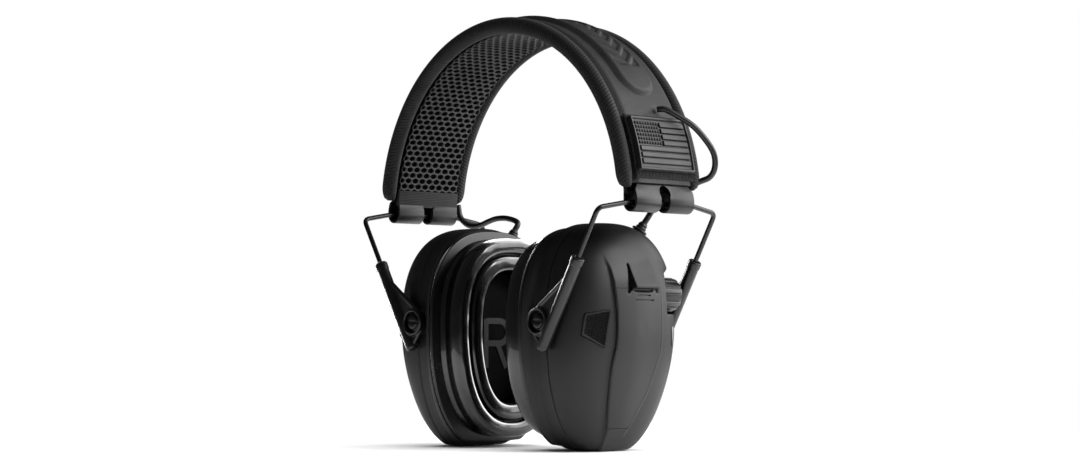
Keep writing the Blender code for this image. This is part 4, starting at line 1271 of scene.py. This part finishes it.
def letter_shape(name, strokes, width=2.9):
    """Printed side letter: flat strokes just in front of the ear cloth."""
    solid = bmesh.new()
    for level, stroke in enumerate(strokes):
        points = [Vector((0.0, y, z)) for y, z in stroke]
        loops = []
        for here, point in enumerate(points):
            along = (points[min(here + 1, len(points) - 1)] - points[max(here - 1, 0)]).normalized()
            side = Vector((0.0, -along.z, along.y)) * width / 2.0
            depth = 26.52 - 0.02 * level
            loops.append([solid.verts.new((Vector((x, 0.0, 0.0)) + edge) * MM)
                          for x, edge in ((depth, point + side), (depth, point - side),
                                          (depth + 0.25, point - side), (depth + 0.25, point + side))])
        add_strand(solid, loops)
    bmesh.ops.recalc_face_normals(solid, faces=solid.faces)
    return from_bmesh(name, solid)


def side_letters():
    """Strokes in (y, z) of the generic marks for the right and the left ear."""
    bowl = [(-7.0, 60.0)] + arc_of((2.0, 54.6), 5.4, 90.0, -90.0, 16) + [(-7.0, 49.2)]
    return {"right": [[(-7.0, 37.5), (-7.0, 61.0)], bowl, [(0.6, 49.2), (6.4, 37.4)]],
            "left": [[(6.0, 61.0), (6.0, 37.5)], [(7.0, 38.4), (-5.5, 38.4)]]}


def grommet_axis(height, side):
    """Point on a grommet's axis, height outwards from the casing's skin, drawn for the left."""
    seat, out = GROMMETS[side]
    return seat + out * height


def grommet_shape(name, side):
    """Ribbed strain relief."""
    profile = [(0.0, 2.4), (0.3, 2.7), (2.8, 2.7), (2.8, 3.6), (3.1, 3.8), (3.5, 3.8), (3.9, 3.4), (4.1, 2.7)]
    for rib in range(2):
        base = 4.3 + rib * 1.4
        size = 2.6 - rib * 0.3
        profile += [(base, size - 0.35), (base + 0.2, size), (base + 0.8, size - 0.08),
                    (base + 1.1, size - 0.4)]
    profile += [(7.3, 1.8), (7.5, 1.5)]
    return rod(name, grommet_axis(-2.5, side), grommet_axis(5.0, side), profile, 36)


def knob_shape(name):
    """Thumbwheel with rounded ribs, chamfered ends and its spindle."""
    rows = []
    chamfer = ((0.0, -1.2, 0.0), (0.15, -0.7, 0.2), (0.6, -0.2, 0.6), (1.2, 0.0, 0.7))
    front = [(KNOB_Y[0] + inset, rise, depth) for inset, rise, depth in chamfer]
    rear = [(KNOB_Y[1] - inset, rise, depth) for inset, rise, depth in chamfer[::-1]]
    for y, rise, depth in front + rear:
        ring = []
        for step in range(180):
            angle = 2.0 * math.pi * step / 180.0
            groove = depth * smooth_step(0.62, 0.97, 0.5 + 0.5 * math.cos(15.0 * angle))
            radius = KNOB_RADIUS + rise - groove
            ring.append((KNOB_X + radius * math.cos(angle), y, KNOB_Z + radius * math.sin(angle)))
        rows.append(ring)
    item = surface(name, rows, around=True)
    cut(item, cylinder("spindle", (KNOB_X, 8.0, KNOB_Z), (KNOB_X, 22.0, KNOB_Z), 1.5, 24), "UNION")
    return item


def grille_shape(name):
    """Fine pierced screen of staggered six-sided holes inside a thin frame."""
    pitch, row_pitch, hole = 1.25, 1.08, 0.72
    solid = bmesh.new()
    shared = {}

    def vert(y, z):
        key = (round(y, 3), round(z, 3))
        if key not in shared:
            shared[key] = solid.verts.new(Vector((0.0, y, z)) * MM)
        return shared[key]

    peak, flank = row_pitch * 2.0 / 3.0, row_pitch / 3.0
    for row in range(-9, 10):
        for column in range(-7, 8):
            y, z = (column + (row % 2) * 0.5) * pitch, row * row_pitch
            limit = GRILLE_SHORT + (GRILLE_TALL - GRILLE_SHORT) * (y + GRILLE_HALF) / (2.0 * GRILLE_HALF)
            if abs(y) > GRILLE_HALF or abs(z) > limit:
                continue
            corners = six_corners(pitch, peak, flank)
            outer = [vert(y + dy, z + dz) for dy, dz in corners]
            inner = [vert(y + dy * hole, z + dz * hole) for dy, dz in corners]
            for here in range(6):
                solid.faces.new((outer[here], outer[(here + 1) % 6], inner[(here + 1) % 6], inner[here]))
    return place_grille(thicken(from_bmesh(name, solid), GRILLE_THICKNESS), -0.35)


def grille_frame_shape(name):
    item = grille_prism(name, 0.1, -1.3, 0.25)
    cut(item, grille_prism("window", -0.75, -3.0, 3.0))
    return bevel(item, 0.18, 2, 30.0)


def battery_shape(name, y):
    """Cell with its crimped ends, sleeve edge and contact nub."""
    profile = ((0.0, 3.8), (0.2, 4.6), (0.5, 5.0), (0.9, 5.2), (42.0, 5.2), (42.3, 5.05), (42.6, 4.7),
               (42.7, 1.9), (43.9, 1.9), (44.4, 1.5), (44.5, 0.3))
    foot, top = BATTERY_Z
    return rod(name, (BATTERY_X, y, foot), (BATTERY_X, y, top), profile, 40)


def mark_shape(name, points, lift=0.16):
    """Thin raised mark that follows the casing's skin."""
    item = dome(name, lift=lambda y, z: spine_lift(y, z) + lift)
    cut(item, prism_x("mark_prism", points, 45.0, 90.0), "INTERSECT")
    cut(item, dome("under", lift=lambda y, z: spine_lift(y, z) - 0.15, steps=160))
    return item


def build_cups():
    shapes = {"rim_plate": (rim_shape("rim"), "rim", "rim", 30.0),
              "gel_cushion": (gel_shape("gel"), "gel", "gel", 80.0),
              "ear_cloth": (cloth_shape("cloth"), "cloth", "cloth", 80.0),
              "mic_grille": (grille_shape("grille"), "grille", "grille", 50.0),
              "grille_frame": (grille_frame_shape("grille_frame"), "shell", "shell", 40.0)}
    letters = side_letters()
    for name, side in SIDES:
        body = name + "_cup"
        for suffix, (shape, paint, slot, angle) in shapes.items():
            label = f"{name}_{suffix}"
            item = new_object(label, shape.data.copy())
            node = (label,) if label in frame["nodes"] else ()
            wear(item, body, paint, node, side, angle)
        label = name + "_outer_shell"
        skin = shaped_skin(name + "_skin", side > 0)
        wear(outer_shell_shape(label, skin, side > 0), body, "shell", (label,), side, angle=60.0)
        if side > 0:
            door = door_shape("left_battery_door", skin)
        bpy.data.objects.remove(skin, do_unlink=True)
        label = name + "_base_shell"
        wear(base_shell_shape(label, side), body, "shell", (label,), side, angle=30.0)
        label = name + "_cable_grommet"
        wear(grommet_shape(label, side), body, "cable", (label,), side)
        letter = letter_shape(name + "_side_letter", letters[name])
        wear(letter, body, "print", (), side, angle=40.0)
        for suffix, paint in (("speaker", "speaker"), ("circuit_board", "board"), ("microphone", "speaker"),
                              ("foam_insert", "foam")):
            keep_node(f"{name}_{suffix}", paint)
    for shape, paint, slot, angle in shapes.values():
        bpy.data.objects.remove(shape, do_unlink=True)
    wear(knob_shape("left_volume_knob"), "volume_knob", "knob", ("left_volume_knob",), angle=35.0)
    wear(door, "battery_door", "shell", ("left_battery_door",), angle=60.0)
    for place, y in BATTERY_Y.items():
        label = "left_battery_" + place
        wear(battery_shape(label, y), "left_cup", "battery", (label,))
    keep_node("left_potentiometer", "board")
    wedge = mark_shape("volume_wedge", [(23.6, 57.0), (26.4, 57.0), (25.6, 48.0)])
    wear(wedge, "left_cup", "mark")


# ---------------------------------------------------------------- leads

LEFT_ROUTE = [(59.0, 18.5, 112.0), (65.5, 12.0, 112.3), (71.5, 5.2, 110.3), (75.3, 1.2, 110.4),
              (76.6, 0.0, 113.0), (76.6, 0.0, 116.4)]
RIGHT_ROUTE = [(-44.0, 24.5, 111.0), (-51.0, 24.0, 111.2), (-57.0, 24.0, 110.0), (-63.0, 24.0, 108.3),
               (-68.5, 24.0, 107.9), (-73.0, 23.5, 109.3), (-76.3, 22.6, 113.0), (-77.3, 22.0, 118.9)]
LOOP_ROUTE = [(79.6, 23.4, 122.6), (82.3, 25.7, 124.0), (86.0, 27.6, 125.8), (88.6, 28.0, 130.0),
              (89.5, 26.5, 136.0), (88.2, 22.8, 142.0), (85.2, 17.2, 148.6), (81.2, 11.2, 153.2),
              (77.4, 6.4, 156.2), (74.5, 4.2, 156.2)]


def build_cup_lead(name, side, knots):
    """Lead from the cup to the headband, in three lengths that share their ends.

    None of the lengths is attached to a body, so they do not bend with the fold, height or cup tilt.
    """
    tip, above = grommet_axis(4.8, side), grommet_axis(9.5, side)
    ends = [(side * tip.x, tip.y, tip.z), (side * above.x, above.y, above.z)]
    route = smooth_route(ends + knots, 1.0)[::-1]
    corner = min(range(len(route)), key=lambda index: (route[index] - Vector(knots[0])).length)
    crook = min(range(len(route)), key=lambda index: (route[index] - Vector(ends[1])).length)
    lengths = (("", route[:corner + 1], "headband", f"{name}_yoke"),
               ("_middle", route[corner:crook + 1], f"{name}_yoke", f"{name}_arms"),
               ("_end", route[crook:], f"{name}_arms", f"{name}_cup"))
    for suffix, points, upper, lower in lengths:
        item = tube(f"{name}_lead{suffix}", points, LEAD_RADIUS, 16)
        wear(item, None, "cable", (f"{name}_lead",), 1, angle=60.0)
        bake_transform(item)


def build_leads():
    build_cup_lead("left", 1, LEFT_ROUTE)
    build_cup_lead("right", -1, RIGHT_ROUTE)
    data = bpy.data.curves.new("headband_lead_loop", "CURVE")
    data.dimensions = "3D"
    data.bevel_depth = LEAD_RADIUS * MM
    data.bevel_resolution = 6
    data.use_fill_caps = True
    points = smooth_route(LOOP_ROUTE, 1.2)
    spline = data.splines.new("POLY")
    spline.points.add(len(points) - 1)
    for knot, point in zip(spline.points, points):
        knot.co = (*(point * MM), 1.0)
    data.materials.append(PAINT["cable"])
    item = bpy.data.objects.new("headband_lead_loop_visual", data)
    bpy.context.scene.collection.objects.link(item)
    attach(item, "headband")
    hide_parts("headband_lead_loop")


# ---------------------------------------------------------------- assembly

build_camera()
build_floor()
PAINT.update(build_materials())
build_leads()
build_cover()
build_crown_pad()
build_rolls()
build_mesh_liner()
build_inner_layers()
build_loop_panels()
build_patches()
build_spring_band()
build_lead_eyelet()
build_yokes()
build_arms()
build_cups()
build_lights()
